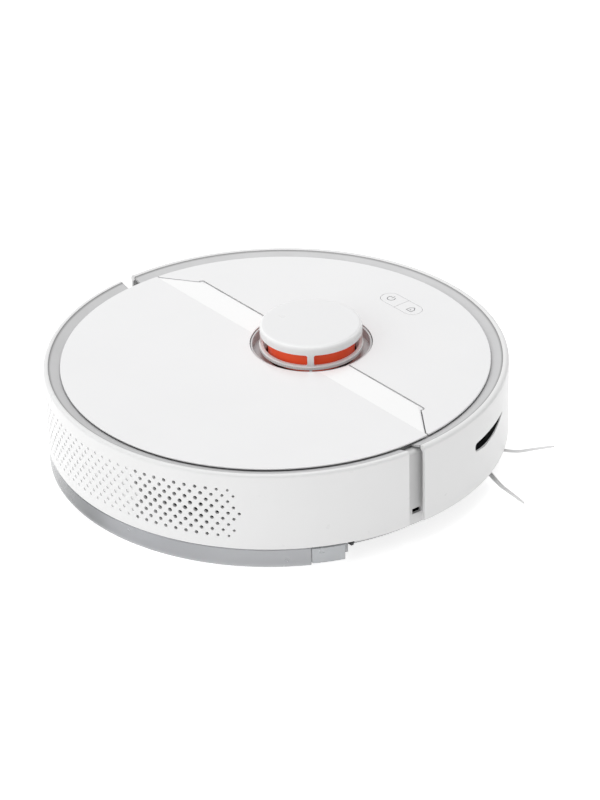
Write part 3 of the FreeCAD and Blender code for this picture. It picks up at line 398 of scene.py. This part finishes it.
def circuit_board():
    """Green lacquer over copper tracks, with dark chips where the board is built up."""
    chip_height, leg_height, pad_pitch, tiles_per_metre = 5.4 * MM, 3.6 * MM, 5.5 * MM, 260
    f = Finish("circuit_board", (0.012, 0.13, 0.045), 0.38, Coat_Weight=0.4)
    grid = f.node("ShaderNodeTexBrick", offset=0.37, squash=0.6)
    f.put(grid.inputs["Vector"], f.stretched((tiles_per_metre,) * 3))
    grid.inputs["Mortar Size"].default_value = 0.05
    grid.inputs["Mortar Smooth"].default_value = 0.1
    tracks = grid.outputs["Fac"]
    f.tint(tracks, 0.75, (0.05, 0.30, 0.10))
    pads = f.spread(f.cells(pad_pitch), 1.0, 0.0, 0.10, 0.13)
    f.tint(pads, 0.9, (0.62, 0.60, 0.56))
    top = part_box("main_board")[1].z
    chips = f.maths("GREATER_THAN", f.axis("Z"), top - chip_height)
    f.tint(chips, 1.0, (0.016, 0.017, 0.018))
    legs = f.maths("LESS_THAN", f.axis("Z"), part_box("battery_pack")[1].z + leg_height)
    f.tint(legs, 1.0, (0.5, 0.5, 0.48))
    f.polish(f.noise(4 * MM, 3.0), 0.10)
    f.raise_by(tracks, 0.04 * MM)
    return f.done(0.2 * MM)


def battery_wrap():
    """Blue shrink film over round cells, creased at the ends."""
    f = Finish("battery_wrap", (0.02, 0.09, 0.30), 0.34, Coat_Weight=0.3)
    cells = f.wave(18.6 * MM, "X")
    f.tint(f.noise(15 * MM, 4.0), 0.25)
    f.tint(cells, 0.2, (0.05, 0.17, 0.45))
    f.polish(f.noise(5 * MM, 4.0), 0.1)
    f.raise_by(cells, 0.35 * MM)
    f.raise_by(f.noise(5 * MM, 4.0, 0.6, f.stretched((1, 0.25, 1))), 0.25 * MM)
    return f.done(1.2 * MM)


def filter_paper():
    """Fibrous white paper in fine pleats."""
    f = Finish("filter_paper", (0.74, 0.73, 0.69), 0.9, Sheen_Weight=0.2)
    fibres = f.noise(1.2 * MM, 5.0, 0.7, f.stretched((1, 1, 5), (0, 0.4, 0)))
    pleats = f.wave(2.4 * MM, "Y", 0.4)
    f.tint(pleats, 0.28)
    f.tint(fibres, 0.15)
    f.polish(fibres, 0.06)
    f.raise_by(pleats, 0.5 * MM)
    f.raise_by(fibres, 0.08 * MM)
    return f.done()


def mop_cloth_finish(base):
    """Looped microfibre: rows of loops, pale stripes of stiffer yarn, fuzz."""
    f = Finish("mop_cloth_loops", base, 0.92, Sheen_Weight=0.45, Sheen_Roughness=0.5)
    across = f.wave(1.6 * MM, "X", 2.0)
    along = f.wave(1.6 * MM, "Y", 2.0)
    loops = f.maths("MULTIPLY", across, along)
    stripes = f.spread(f.wave(24 * MM, "X", 0.3), 0.0, 1.0, 0.93, 0.97)
    f.tint(stripes, 0.8, (0.66, 0.68, 0.70))
    # Painted shade: darker in the dips between the loops of the relief.
    f.tint(f.spread(loops, 1.0, 0.0), 0.45)
    f.tint(f.noise(12 * MM, 4.0), 0.16)
    f.polish(f.noise(3 * MM, 3.0), 0.06)
    f.raise_by(loops, 0.5 * MM)
    f.raise_by(f.noise(0.4 * MM, 4.0, 0.7), 0.15 * MM)
    return f.done()


def braided_belt():
    """Black belt with fine cross ribs and dusty flanks."""
    f = rubber("ribbed_belt", (0.02, 0.02, 0.022), 0.6, 0.3)
    f.raise_by(f.wave(1.0 * MM, "Z"), 0.08 * MM)
    return f.done()


def tyre_tread():
    """Black tyre rubber with moulding lines between its lugs."""
    f = rubber("tyre_tread", (0.028, 0.028, 0.03), 0.72, 0.45)
    f.raise_by(f.wave(1.1 * MM, "X"), 0.05 * MM)
    f.tint_edges(0.8 * MM, 0.5, (0.14, 0.135, 0.13))
    return f.done(0.4 * MM)


def finishes(p):
    """Every finish by the name of the material slot that it belongs to."""
    white = gloss_plastic("white_shell_gloss", p.shell, 0.30, 0.0, 1.38)
    # Painted shade: the shell's edges and creases are darkened to grey, broken by noise.
    white.tint_edges(0.5 * MM, 0.35, (0.62, 0.62, 0.61))
    low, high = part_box("tower_guard")
    tower, cap_skin = (low + high) / 2, 0.4 * MM
    # Painted light: the shell within the tower guard's radius is made brighter, so that its
    # shaded base ring reads white. The cap's top is set back to a grey close to the deck's.
    white.tint(white.maths("LESS_THAN", white.radius(tower.x, tower.y), high.x - tower.x), 1.0,
               tuple(1.16 * c for c in p.shell))
    white.tint(white.maths("GREATER_THAN", white.axis("Z"), high.z - cap_skin), 1.0,
               tuple(0.93 * c for c in p.deck))
    deck = gloss_plastic("deck_gloss", p.deck, 0.24, 0.5)
    deck.raise_by(deck.noise(0.12 * MM, 1.0), 0.0006 * MM)
    band = gloss_plastic("band_gloss", p.band, 0.10, 1.0)
    # Painted shade: the ring's grey base is the shade of its inward slope, and it is painted
    # darker still towards its outer rim, in the groove next to the lip.
    trim = grained_plastic("trim_painted_shade", p.trim, 0.42, 0.25 * MM, 0.006 * MM)
    rim, shade_from, shade_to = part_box("bumper_trim_ring")[1].x, 1.9 * MM, 0.3 * MM
    trim.tint(trim.spread(trim.radius(), 0.0, 1.0, rim - shade_from, rim - shade_to), 0.55)
    rotor = grained_plastic("rotor_satin_painted_glow", p.rotor, 0.36, 0.3 * MM, 0.006 * MM)
    # Painted glow: emission of the rotor's own colour brightens it in the guard's shade.
    rotor.shader.inputs["Emission Color"].default_value = (*p.rotor, 1.0)
    rotor.shader.inputs["Emission Strength"].default_value = p.painted_glow
    contact = brushed_metal("plated_contact", (0.83, 0.72, 0.48), 0.24, (14, 1, 14))
    return {
        "white_shell": white.done(0.35 * MM),
        "deck_white": deck.done(0.3 * MM),
        "band_white": band.done(0.2 * MM),
        "trim_grey": trim.done(0.3 * MM),
        "inner_grey": grained_plastic("inner_satin", p.inner, 0.5, wear=0.2).done(0.3 * MM),
        "dark_plastic": grained_plastic("dark_moulding", (0.035, 0.036, 0.038), 0.5,
                                        wear=0.3).done(0.35 * MM),
        "pan_grey": grained_plastic("pan_moulding", (0.05, 0.051, 0.054), 0.58, 0.7 * MM,
                                    0.04 * MM, 0.35).done(0.5 * MM),
        "sensor_black": sensor_window(),
        "rotor_red": rotor.done(0.4 * MM),
        "smoke_clear": smoky_tank(p.tank),
        "latch_clear": pale_latch(),
        "bin_clear": clear_plastic("smoky_bin", (0.20, 0.21, 0.22), 0.16, 0.8,
                                   0.03 * MM).done(0.4 * MM),
        "filter_white": filter_paper(),
        "cloth_grey": mop_cloth_finish(p.cloth),
        "tyre_rubber": tyre_tread(),
        "hub_grey": grained_plastic("hub_moulding", (0.16, 0.165, 0.17), 0.46,
                                    wear=0.3).done(0.4 * MM),
        "brush_rubber": rubber("brush_rubber", (0.42, 0.045, 0.02), 0.5, 0.25).done(),
        "arm_rubber": rubber("arm_silicone", p.arm, 0.42, 0.12).done(0.2 * MM),
        "gear_nylon": grained_plastic("gear_nylon", (0.70, 0.68, 0.60), 0.44, 0.3 * MM,
                                      0.01 * MM, 0.2).done(0.15 * MM),
        "steel": brushed_metal("drawn_steel", (0.56, 0.57, 0.58), 0.30, (1, 9, 9)).done(),
        "motor_steel": brushed_metal("motor_can", (0.50, 0.50, 0.51), 0.34,
                                     (9, 9, 1)).done(0.3 * MM),
        "contact_metal": contact.done(0.3 * MM),
        "board_green": circuit_board(),
        "battery_blue": battery_wrap(),
        "belt_black": braided_belt(),
    }


# ---- Mesh helpers -------------------------------------------------------------------------
def new_piece(name, points, faces, finish, smooth=True):
    """Mesh object at the origin from an array of points and an array of faces."""
    mesh = bpy.data.meshes.new(name)
    mesh.from_pydata(np.asarray(points, float).reshape(-1, 3).tolist(), [],
                     [list(map(int, face)) for face in faces])
    mesh.materials.append(finish)
    mesh.polygons.foreach_set("use_smooth", np.full(len(mesh.polygons), smooth))
    mesh.update()
    piece = bpy.data.objects.new(name, mesh)
    bpy.context.scene.collection.objects.link(piece)
    return piece


def grid_faces(rows, columns, closed=False, first=0):
    """Quads of a grid of points, row by row, its columns joined up if closed."""
    i, j = np.meshgrid(np.arange(rows - 1), np.arange(columns if closed else columns - 1),
                       indexing="ij")
    k = (j + 1) % columns
    quads = np.stack([i * columns + j, i * columns + k, (i + 1) * columns + k,
                      (i + 1) * columns + j], -1)
    return quads.reshape(-1, 4) + first


def tube_faces(rows, columns, first=0):
    """Faces of a closed tube of rows rings, with a cap on each end."""
    faces = [list(q) for q in grid_faces(rows, columns, True, first)]
    ring = np.arange(columns) + first
    return faces + [list(ring[::-1]), list(ring + (rows - 1) * columns)]


def swept(path, section, across, up):
    """Points of a section carried along a path: path + a * across + b * up for each (a, b)."""
    return (path[:, None, :] + section[..., 0:1] * across[:, None, :]
            + section[..., 1:2] * up[:, None, :])


def merged(blocks):
    """One array of points and one list of faces from several (points, faces) blocks."""
    points, faces, first = [], [], 0
    for block, own in blocks:
        flat = np.asarray(block).reshape(-1, 3)
        points.append(flat)
        faces += [[v + first for v in face] for face in own]
        first += len(flat)
    return np.concatenate(points), faces


# ---- Key symbols --------------------------------------------------------------------------
INK_HEIGHT = 0.03 * MM
INK_TAPER = 0.86


def printed_line(centre, route, width, closed):
    """Flat ribbon along a plane route: each section is a low trapezium, square to the route.

    The direction at a point is the difference of its neighbours, and the ribbon's sides lie
    half a width to the left and right of it.
    """
    if closed:
        ends = np.roll(route, -1, 0) - np.roll(route, 1, 0)
    else:
        ends = np.gradient(route, axis=0)
    ends /= np.linalg.norm(ends, axis=1, keepdims=True)
    side = np.stack([-ends[:, 1], ends[:, 0], np.zeros(len(route))], -1)
    path = np.column_stack([route + centre[:2], np.full(len(route), centre[2])])
    half, top = width / 2, width / 2 * INK_TAPER
    section = np.array([[-half, -INK_HEIGHT], [half, -INK_HEIGHT], [top, INK_HEIGHT],
                        [-top, INK_HEIGHT]])
    section = np.broadcast_to(section, (len(route), 4, 2))
    points = swept(path, section, side, np.broadcast_to([0.0, 0.0, 1.0], path.shape))
    rows = len(route)
    if not closed:
        return points, [face[::-1] for face in tube_faces(rows, 4)]
    quads = grid_faces(rows + 1, 4, True) % (rows * 4)
    return points, [list(q[::-1]) for q in quads]


def power_symbol(centre, size, width):
    """Ring open over a gap at the front, with an upright bar in the gap."""
    front, gap, radius, bar_from, bar_to = 90, 70, 0.42, 0.05, 0.55
    turn = np.radians(np.linspace(front + gap / 2, front + 360 - gap / 2, 40))
    ring = size * radius * np.column_stack([np.cos(turn), np.sin(turn)])
    bar = np.column_stack([np.zeros(6), np.linspace(bar_from, bar_to, 6) * size])
    return merged([printed_line(centre, ring, width, False),
                   printed_line(centre, bar, width, False)])


def dock_symbol(centre, size, width):
    """House outline, its pitched roof to the front, with a short sill inside."""
    half, foot, eaves, ridge, sill_half, sill_height = 0.36, -0.42, 0.08, 0.46, 0.12, -0.14
    corners = size * np.array([[-half, foot], [half, foot], [half, eaves], [0.0, ridge],
                               [-half, eaves]])
    share = np.linspace(0, 1, 8, endpoint=False)[:, None]
    sides = [a + (b - a) * share for a, b in zip(corners, np.roll(corners, -1, 0))]
    sill = np.column_stack([np.linspace(-sill_half, sill_half, 4) * size,
                            np.full(4, sill_height * size)])
    return merged([printed_line(centre, np.concatenate(sides), width, True),
                   printed_line(centre, sill, width, False)])


def ink():
    """Grey pad-printing ink with a slightly uneven edge to its tone."""
    f = Finish("printed_ink", (0.20, 0.20, 0.21), 0.5)
    f.tint(f.noise(0.6 * MM, 3.0), 0.25)
    f.polish(f.noise(0.8 * MM, 2.0), 0.1)
    f.raise_by(f.noise(0.2 * MM, 2.0), 0.004 * MM)
    return f.done()


# ---- Side brush ---------------------------------------------------------------------------
def side_brush_arms(p, finish):
    """Five soft arms. Each follows a line that drops from the hub to the floor as a smooth step
    of the radius and trails a little behind its spoke. Its section is a squared oval, narrower
    towards the tip and rounded off in its last part, with a valley pressed in along its top:
    half the width times the cosine's power, half the thickness times the sine's power.
    """
    hub_rim, root_share, root_height, tip_z = 1.5 * MM, 0.72, 2.6 * MM, 1.25 * MM
    drop_length, taper, tip_start, tip_length, thinner = 34 * MM, 0.8, 0.97, 0.035, 0.35
    squareness, valley_width, valley_depth, first_spoke, trail = 0.55, 0.5, 0.55, 70, 0.04
    rows, columns, count = 40, 24, 5
    low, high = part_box("side_brush_hub")
    hub = (low + high) / 2
    near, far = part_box("side_brush_arms")
    hub_r = (high.x - low.x) / 2 - hub_rim
    reach = max(far.x - hub.x, far.y - hub.y, hub.y - near.y, hub.x - near.x)
    root_z = low.z + root_height
    share = np.linspace(0, 1, rows)
    r = hub_r * root_share + (reach - hub_r * root_share) * share
    drop = np.clip((r - hub_r) / drop_length, 0, 1)
    z = root_z + (tip_z - root_z) * drop * drop * (3 - 2 * drop)
    width = p.arm_root + (p.arm_tip - p.arm_root) * share ** taper
    past = ((share - tip_start) / tip_length).clip(0)
    width = width * np.sqrt(np.clip(1.0 - past ** 2, 0.05, 1))
    thick = p.arm_thickness * (1 - thinner * share)
    phi = np.linspace(0, 2 * math.pi, columns, endpoint=False)
    squared = [np.sign(w) * np.abs(w) ** squareness for w in (np.cos(phi), np.sin(phi))]
    a = width[:, None] / 2 * squared[0]
    b = thick[:, None] / 2 * squared[1]
    valley = np.exp(-(squared[0] / valley_width) ** 2) * (np.sin(phi) > 0)
    b = b - thick[:, None] * valley_depth * valley
    section = np.stack([a, b], -1)
    blocks = []
    for k in range(count):
        spoke = math.radians(first_spoke + 360 / count * k) - trail * share ** 2
        path = np.column_stack([hub.x + r * np.cos(spoke), hub.y + r * np.sin(spoke), z])
        ahead = np.gradient(path, axis=0)
        ahead /= np.linalg.norm(ahead, axis=1, keepdims=True)
        across = np.cross([0.0, 0.0, 1.0], ahead)
        across /= np.linalg.norm(across, axis=1, keepdims=True)
        up = np.cross(ahead, across)
        blocks.append((swept(path, section, across, up), tube_faces(rows, columns)))
    return new_piece("side_brush_soft_arms", *merged(blocks), finish)


# ---- Main brush ---------------------------------------------------------------------------
FIN_FOOT = 7.7 * MM
BRISTLE_FOOT = 7.6 * MM


def brush_frame():
    """Axis height and place, fins' ends and outer radius of the main brush, from its parts."""
    low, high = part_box("main_brush_fins")
    core_low, core_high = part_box("main_brush_core")
    axis = ((core_low + core_high) / 2).yz
    return axis, low.x, high.x, axis.y - low.z


def chevron_angle(x, x0, x1, turn, start):
    """Angle of a row at x: its start in the middle, and turned evenly towards both ends."""
    middle, half = (x0 + x1) / 2, (x1 - x0) / 2
    return start + turn * np.abs(x - middle) / half


def main_brush_fins(p, finish):
    """Three chevron fins. A point lies at (x, r) on the fin; its angle about the brush's axis
    is the row's, bent back a little with r, plus half the fin's thickness to either side.
    """
    axis, x0, x1, r_out = brush_frame()
    rows, levels = 90, 9
    foot_half, tip_half, tip_rounding, bend, first_fin = 1.5 * MM, 0.55 * MM, 0.6, 0.16, 30
    x = np.linspace(x0, x1, rows)
    share = np.linspace(0, 1, levels)
    r = FIN_FOOT + (r_out - FIN_FOOT) * share
    half = foot_half * (1 - share) + tip_half * share
    half[-1] *= tip_rounding
    loop_r = np.concatenate([r, r[::-1]])
    loop_half = np.concatenate([half, -half[::-1]])
    lean = bend * (loop_r / r_out) ** 2
    blocks = []
    for k in range(3):
        start = math.radians(120 * k + first_fin)
        row = chevron_angle(x, x0, x1, p.chevron, start)[:, None]
        ring = row + lean - loop_half / loop_r
        points = np.stack([np.broadcast_to(x[:, None], ring.shape),
                           axis.x + loop_r * np.cos(ring), axis.y + loop_r * np.sin(ring)], -1)
        blocks.append((points, tube_faces(rows, 2 * levels)))
    return new_piece("main_brush_rubber_fins", *merged(blocks), finish)


def main_brush_bristles(p, finish):
    """Three chevron rows of tufts between the fins. Each bristle is a thin three-sided spike
    from the core to just inside the fins' radius, leaning by a seeded random angle.
    """
    axis, x0, x1, r_out = brush_frame()
    rng = np.random.default_rng(7)
    per_tuft, end_gap, first_row, lean = 7, 2 * MM, 90, 0.12
    short, thick, point = 1.2 * MM, 0.16 * MM, 0.6
    corner = np.radians([0, 120, 240])
    blocks = []
    for k in range(3):
        x = np.repeat(np.linspace(x0 + end_gap, x1 - end_gap, p.tufts), per_tuft)
        start = math.radians(120 * k + first_row)
        theta = chevron_angle(x, x0, x1, p.chevron, start)
        root_x = x + rng.normal(0, 0.35 * MM, x.size)
        root_t = theta + rng.normal(0, 0.03, x.size)
        tip_x = x + rng.normal(0, 0.9 * MM, x.size)
        tip_t = theta + lean + rng.normal(0, 0.05, x.size)
        tip_r = r_out - short - np.abs(rng.normal(0, 0.5 * MM, x.size))
        foot_r = np.full(x.size, BRISTLE_FOOT)
        rings = []
        for at_x, at_t, at_r, size in ((root_x, root_t, foot_r, thick),
                                       (tip_x, tip_t, tip_r, thick * point)):
            px = at_x[:, None] + size * np.cos(corner)
            pt = at_t[:, None] + size * np.sin(corner) / at_r[:, None]
            rings.append(np.stack([px, axis.x + at_r[:, None] * np.cos(pt),
                                   axis.y + at_r[:, None] * np.sin(pt)], -1))
        points = np.stack(rings, 1)
        base = np.arange(x.size)[:, None, None] * 6
        shape = np.array([[0, 3, 4, 1], [1, 4, 5, 2], [2, 5, 3, 0]])
        caps = np.array([[0, 1, 2], [5, 4, 3]])
        faces = [list(f) for f in (base + shape).reshape(-1, 4)]
        faces += [list(f) for f in (base + caps).reshape(-1, 3)]
        blocks.append((points, faces))
    return new_piece("main_brush_bristles", *merged(blocks), finish, smooth=False)


def bristle_finish():
    """Dark nylon bristles, paler towards some tips."""
    f = Finish("bristle_nylon", (0.03, 0.03, 0.032), 0.38)
    f.tint(f.spread(f.noise(3 * MM, 3.0), 0.0, 1.0, 0.5, 0.8), 0.5, (0.14, 0.14, 0.14))
    f.polish(f.noise(2 * MM, 2.0), 0.1)
    return f.done()


# ---- Mop cloth ----------------------------------------------------------------------------
def cloth_plan():
    """Radius, front edge, floor and top of the mop cloth, from its solid."""
    low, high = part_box("mop_cloth")
    return -low.y, high.y, low.z, high.z


def mop_cloth(p, finish):
    """Cloth as one closed D-shaped surface. Across, s goes from side to side of the chord at
    depth t, which ends in a pole at the back. Its lower face is the rounded edge's height plus
    a pile of loops, the product of two sine waves, fading out towards the rim. The edge curls
    up by a quarter circle of the distance to the rim.
    """
    radius, front, floor, top = cloth_plan()
    inset, round_r, skin, loop, flatter = 0.4 * MM, 1.6 * MM, 0.15 * MM, 2.4 * MM, 0.9
    rows, columns = 150, 360
    t = np.sin(np.linspace(0, math.pi / 2, rows))
    y = front - inset + (-(radius - inset) - (front - inset)) * t
    half = np.sqrt(np.clip((radius - inset) ** 2 - y ** 2, 0, None))
    s = np.sin(np.linspace(-math.pi / 2, math.pi / 2, columns))
    x = half[:, None] * s
    y = np.broadcast_to(y[:, None], x.shape)
    to_rim = np.minimum((radius - inset) - np.hypot(x, y), (front - inset) - y).clip(0)
    near = np.clip(to_rim / round_r, 0, 1)
    curl = 1 - np.sqrt(np.clip(1 - (1 - near) ** 2, 0, 1))
    loops = 0.5 + 0.5 * np.sin(2 * math.pi * x / loop) * np.sin(2 * math.pi * y / loop)
    middle = (floor + top) / 2
    below = floor + skin + p.pile * loops * near + (middle - floor) * curl
    above = top - skin - (top - middle) * curl * flatter
    upper = np.stack([x, y, above], -1)
    lower = np.stack([x, y, below], -1)
    faces = [list(q[::-1]) for q in grid_faces(rows, columns)]
    under = [list(q) for q in grid_faces(rows, columns, first=rows * columns)]
    return stitched("mop_cloth_looped", upper, lower, faces + under, finish)


def stitched(name, upper, lower, faces, finish):
    """Join two grids of the same size at their shared rim, drop what collapsed at a pole."""
    rows, columns = upper.shape[:2]
    rim = np.concatenate([np.arange(columns), np.arange(1, rows) * columns + columns - 1,
                          ((rows - 1) * columns + np.arange(columns - 2, -1, -1)),
                          np.arange(rows - 2, 0, -1) * columns])
    after = np.roll(rim, -1)
    side = np.stack([rim, after, after + rows * columns, rim + rows * columns], -1)
    piece = new_piece(name, np.concatenate([upper.reshape(-1, 3), lower.reshape(-1, 3)]),
                      faces + [list(q[::-1]) for q in side], finish)
    tidy(piece)
    return piece


def tidy(piece):
    """Merge doubled points, drop faces without area and turn the normals outwards."""
    work = bmesh.new()
    work.from_mesh(piece.data)
    bmesh.ops.remove_doubles(work, verts=work.verts, dist=0.01 * MM)
    bmesh.ops.dissolve_degenerate(work, edges=work.edges, dist=0.005 * MM)
    bmesh.ops.recalc_face_normals(work, faces=work.faces)
    work.to_mesh(piece.data)
    work.free()


def cloth_binding(finish):
    """Overlocked edge: a cord of round section carried round the D, its radius swelling and
    sinking once for each stitch.
    """
    radius, front, floor, top = cloth_plan()
    edge, gap, stitch, mean, swing = 1.5 * MM, 0.1 * MM, 3.0 * MM, 0.86, 0.10
    r = radius - edge - gap
    line = front - edge - gap
    end = math.asin(line / r)
    turn = np.linspace(math.pi - end, 2 * math.pi + end, 420)
    bow = np.column_stack([r * np.cos(turn), r * np.sin(turn)])
    chord = np.linspace(bow[-1], bow[0], 300)[1:-1]
    route = np.concatenate([bow, chord])
    count, columns = len(route), 10
    step = np.roll(route, -1, 0) - np.roll(route, 1, 0)
    step /= np.linalg.norm(step, axis=1, keepdims=True)
    side = np.column_stack([step[:, 1], -step[:, 0], np.zeros(count)])
    along = np.cumsum(np.linalg.norm(np.diff(route, axis=0, prepend=route[:1]), axis=1))
    swell = edge * (mean + swing * np.sin(2 * math.pi * along / stitch))
    phi = np.linspace(0, 2 * math.pi, columns, endpoint=False)
    section = swell[:, None, None] * np.stack([np.cos(phi), np.sin(phi)], -1)
    path = np.column_stack([route, np.full(count, (floor + top) / 2)])
    points = swept(path, section, side, np.broadcast_to([0.0, 0.0, 1.0], path.shape))
    faces = grid_faces(count + 1, columns, True) % (count * columns)
    piece = new_piece("mop_cloth_binding", points, [list(q) for q in faces], finish)
    tidy(piece)
    return piece


def binding_finish():
    """Pale overlock yarn wound over the cloth's edge."""
    f = Finish("overlock_yarn", (0.50, 0.51, 0.53), 0.85, Sheen_Weight=0.3)
    yarn = f.wave(1.0 * MM, "DIAGONAL", 1.0)
    f.tint(yarn, 0.35)
    f.polish(f.noise(2 * MM, 3.0), 0.08)
    f.raise_by(yarn, 0.12 * MM)
    return f.done()


# ---- Operators ----------------------------------------------------------------------------
class VACUUM_OT_finish_parts(bpy.types.Operator):
    """Give every moulded, metal and rubber part its finish"""
    bl_idname = "vacuum.finish_parts"
    bl_label = "Finish Parts"

    def execute(self, context):
        made = finishes(context.scene.vacuum_finishes)
        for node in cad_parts.values():
            for place in node.material_slots:
                name = place.material.name.split(".")[0]
                if name not in made:
                    raise RuntimeError(f"{node.name} has no finish for {name}")
                place.material = made[name]
        return {"FINISHED"}


class VACUUM_OT_key_symbols(bpy.types.Operator):
    """Print the power symbol and the dock symbol on the two keys"""
    bl_idname = "vacuum.key_symbols"
    bl_label = "Key Symbols"

    def execute(self, context):
        p = context.scene.vacuum_details
        finish, off_middle = ink(), 1.6 * MM
        for node, draw, towards in (("power_button", power_symbol, -1),
                                    ("dock_button", dock_symbol, 1)):
            low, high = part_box(node)
            x = (low.x + high.x) / 2 + towards * off_middle
            centre = np.array([x, (low.y + high.y) / 2, high.z])
            points, faces = draw(centre, p.symbol_size, p.symbol_line)
            piece = new_piece(node + "_symbol", points, faces, finish, smooth=False)
            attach(piece, node)
        return {"FINISHED"}


class VACUUM_OT_side_brush(bpy.types.Operator):
    """Model the soft arms of the side brush"""
    bl_idname = "vacuum.side_brush"
    bl_label = "Side Brush Arms"

    def execute(self, context):
        finish = bpy.data.materials["arm_silicone"]
        arms = side_brush_arms(context.scene.vacuum_details, finish)
        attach(arms, "side_brush")
        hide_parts("side_brush_arms")
        return {"FINISHED"}


class VACUUM_OT_main_brush(bpy.types.Operator):
    """Model the chevron fins and bristles of the main brush"""
    bl_idname = "vacuum.main_brush"
    bl_label = "Main Brush"

    def execute(self, context):
        p = context.scene.vacuum_details
        fins = main_brush_fins(p, bpy.data.materials["brush_rubber"])
        bristles = main_brush_bristles(p, bristle_finish())
        for piece in (fins, bristles):
            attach(piece, "main_brush")
        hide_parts("main_brush_fins")
        return {"FINISHED"}


class VACUUM_OT_mop_cloth(bpy.types.Operator):
    """Model the looped mop cloth and its overlocked edge"""
    bl_idname = "vacuum.mop_cloth"
    bl_label = "Mop Cloth"

    def execute(self, context):
        cloth = mop_cloth(context.scene.vacuum_details, bpy.data.materials["mop_cloth_loops"])
        binding = cloth_binding(binding_finish())
        for piece in (cloth, binding):
            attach(piece, "tank")
        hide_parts("mop_cloth")
        return {"FINISHED"}


class VACUUM_OT_studio(bpy.types.Operator):
    """Set up the floor, the soft light and the camera"""
    bl_idname = "vacuum.studio"
    bl_label = "Studio"

    def execute(self, context):
        p = context.scene.vacuum_studio
        make_camera(p)
        make_floor(p.table)
        make_light("overhead", (-0.35, 0.25, 1.9), 1.7, p.overhead)
        make_light("side", (-0.2, -2.2, 1.1), 1.4, p.side)
        make_surround(p)
        context.scene.view_settings.view_transform = "Standard"
        return {"FINISHED"}


# ---- Camera, light and floor --------------------------------------------------------------
SENSOR_WIDTH = 36.0
FLOOR_REACH = 14.0
WHITE = (1.0, 1.0, 1.0, 1.0)


def make_camera(p):
    """Camera on a sphere round its target, looking at it, and rolled about its own axis."""
    sa, ca = math.sin(p.azimuth), math.cos(p.azimuth)
    se, ce = math.sin(p.elevation), math.cos(p.elevation)
    back = Vector((sa * ce, -ca * ce, se))
    level = Vector((ca, sa, 0.0))
    over = back.cross(level)
    right = level * math.cos(p.roll) + over * math.sin(p.roll)
    up = back.cross(right)
    camera = bpy.data.objects.new("camera", bpy.data.cameras.new("camera"))
    camera.data.lens = p.lens
    camera.data.sensor_width = SENSOR_WIDTH
    turn = Matrix((right, up, back)).transposed().to_4x4()
    camera.matrix_world = Matrix.Translation(Vector(p.target) + back * p.distance) @ turn
    bpy.context.scene.collection.objects.link(camera)
    bpy.context.scene.camera = camera


def make_surround(p):
    """Even white surround that dims towards the right, as a grey card there would make it."""
    world = bpy.data.worlds.new("white_surround")
    world.use_nodes = True
    tree = world.node_tree
    way = tree.nodes.new("ShaderNodeTexCoord").outputs["Generated"]
    towards = tree.nodes.new("ShaderNodeVectorMath")
    towards.operation = "DOT_PRODUCT"
    towards.inputs[1].default_value = (math.cos(p.azimuth), math.sin(p.azimuth), 0.0)
    fade = tree.nodes.new("ShaderNodeMapRange")
    for socket, value in (("From Min", -0.1), ("From Max", 0.9), ("To Min", p.sky),
                          ("To Max", p.sky * p.card)):
        fade.inputs[socket].default_value = value
    background = tree.nodes["Background"]
    background.inputs["Color"].default_value = WHITE
    tree.links.new(way, towards.inputs[0])
    tree.links.new(towards.outputs["Value"], fade.inputs["Value"])
    tree.links.new(fade.outputs["Result"], background.inputs["Strength"])
    bpy.context.scene.world = world


def make_floor(strength):
    """Wide white light table under the part."""
    f = Finish("studio_floor", (0.60, 0.60, 0.60), 0.6, Emission_Color=WHITE,
               Emission_Strength=strength)
    f.tint(f.noise(0.5, 2.0), 0.01)
    far = FLOOR_REACH
    corners = [(-far, -far, 0), (far, -far, 0), (far, far, 0), (-far, far, 0)]
    new_piece("floor", corners, [(0, 1, 2, 3)], f.done(), smooth=False)


def make_light(name, place, size, power):
    """Square softbox that faces the object."""
    lamp = bpy.data.lights.new(name, "AREA")
    lamp.shape, lamp.size, lamp.energy = "SQUARE", size, power
    light = bpy.data.objects.new(name, lamp)
    light.location = place
    light.rotation_mode = "QUATERNION"
    light.rotation_quaternion = (-Vector(place)).to_track_quat("-Z", "Y")
    bpy.context.scene.collection.objects.link(light)


class VACUUM_PT_workshop(bpy.types.Panel):
    """Sidebar panel with the settings and one button for each piece"""
    bl_idname = "VACUUM_PT_workshop"
    bl_label = "Robot Vacuum"
    bl_space_type = "VIEW_3D"
    bl_region_type = "UI"
    bl_category = "Vacuum"

    def draw(self, context):
        for made in OPERATORS:
            self.layout.operator(made.bl_idname)
        for group in (context.scene.vacuum_finishes, context.scene.vacuum_details,
                      context.scene.vacuum_studio):
            box = self.layout.box()
            for name in group.bl_rna.properties.keys():
                if name not in ("rna_type", "name"):
                    box.prop(group, name)


OPERATORS = (VACUUM_OT_finish_parts, VACUUM_OT_key_symbols, VACUUM_OT_side_brush,
             VACUUM_OT_main_brush, VACUUM_OT_mop_cloth, VACUUM_OT_studio)
SETTINGS = {"vacuum_finishes": VacuumFinishes, "vacuum_details": VacuumDetails,
            "vacuum_studio": VacuumStudio}


def register():
    for made in (*SETTINGS.values(), *OPERATORS, VACUUM_PT_workshop):
        bpy.utils.register_class(made)
    for name, made in SETTINGS.items():
        setattr(bpy.types.Scene, name, PointerProperty(type=made))


def unregister():
    for name in SETTINGS:
        delattr(bpy.types.Scene, name)
    for made in reversed((*SETTINGS.values(), *OPERATORS, VACUUM_PT_workshop)):
        bpy.utils.unregister_class(made)


def main():
    """Make every piece in order."""
    register()
    bpy.ops.vacuum.finish_parts()
    bpy.ops.vacuum.key_symbols()
    bpy.ops.vacuum.side_brush()
    bpy.ops.vacuum.main_brush()
    bpy.ops.vacuum.mop_cloth()
    bpy.ops.vacuum.studio()


if __name__ == "__main__":
    main()
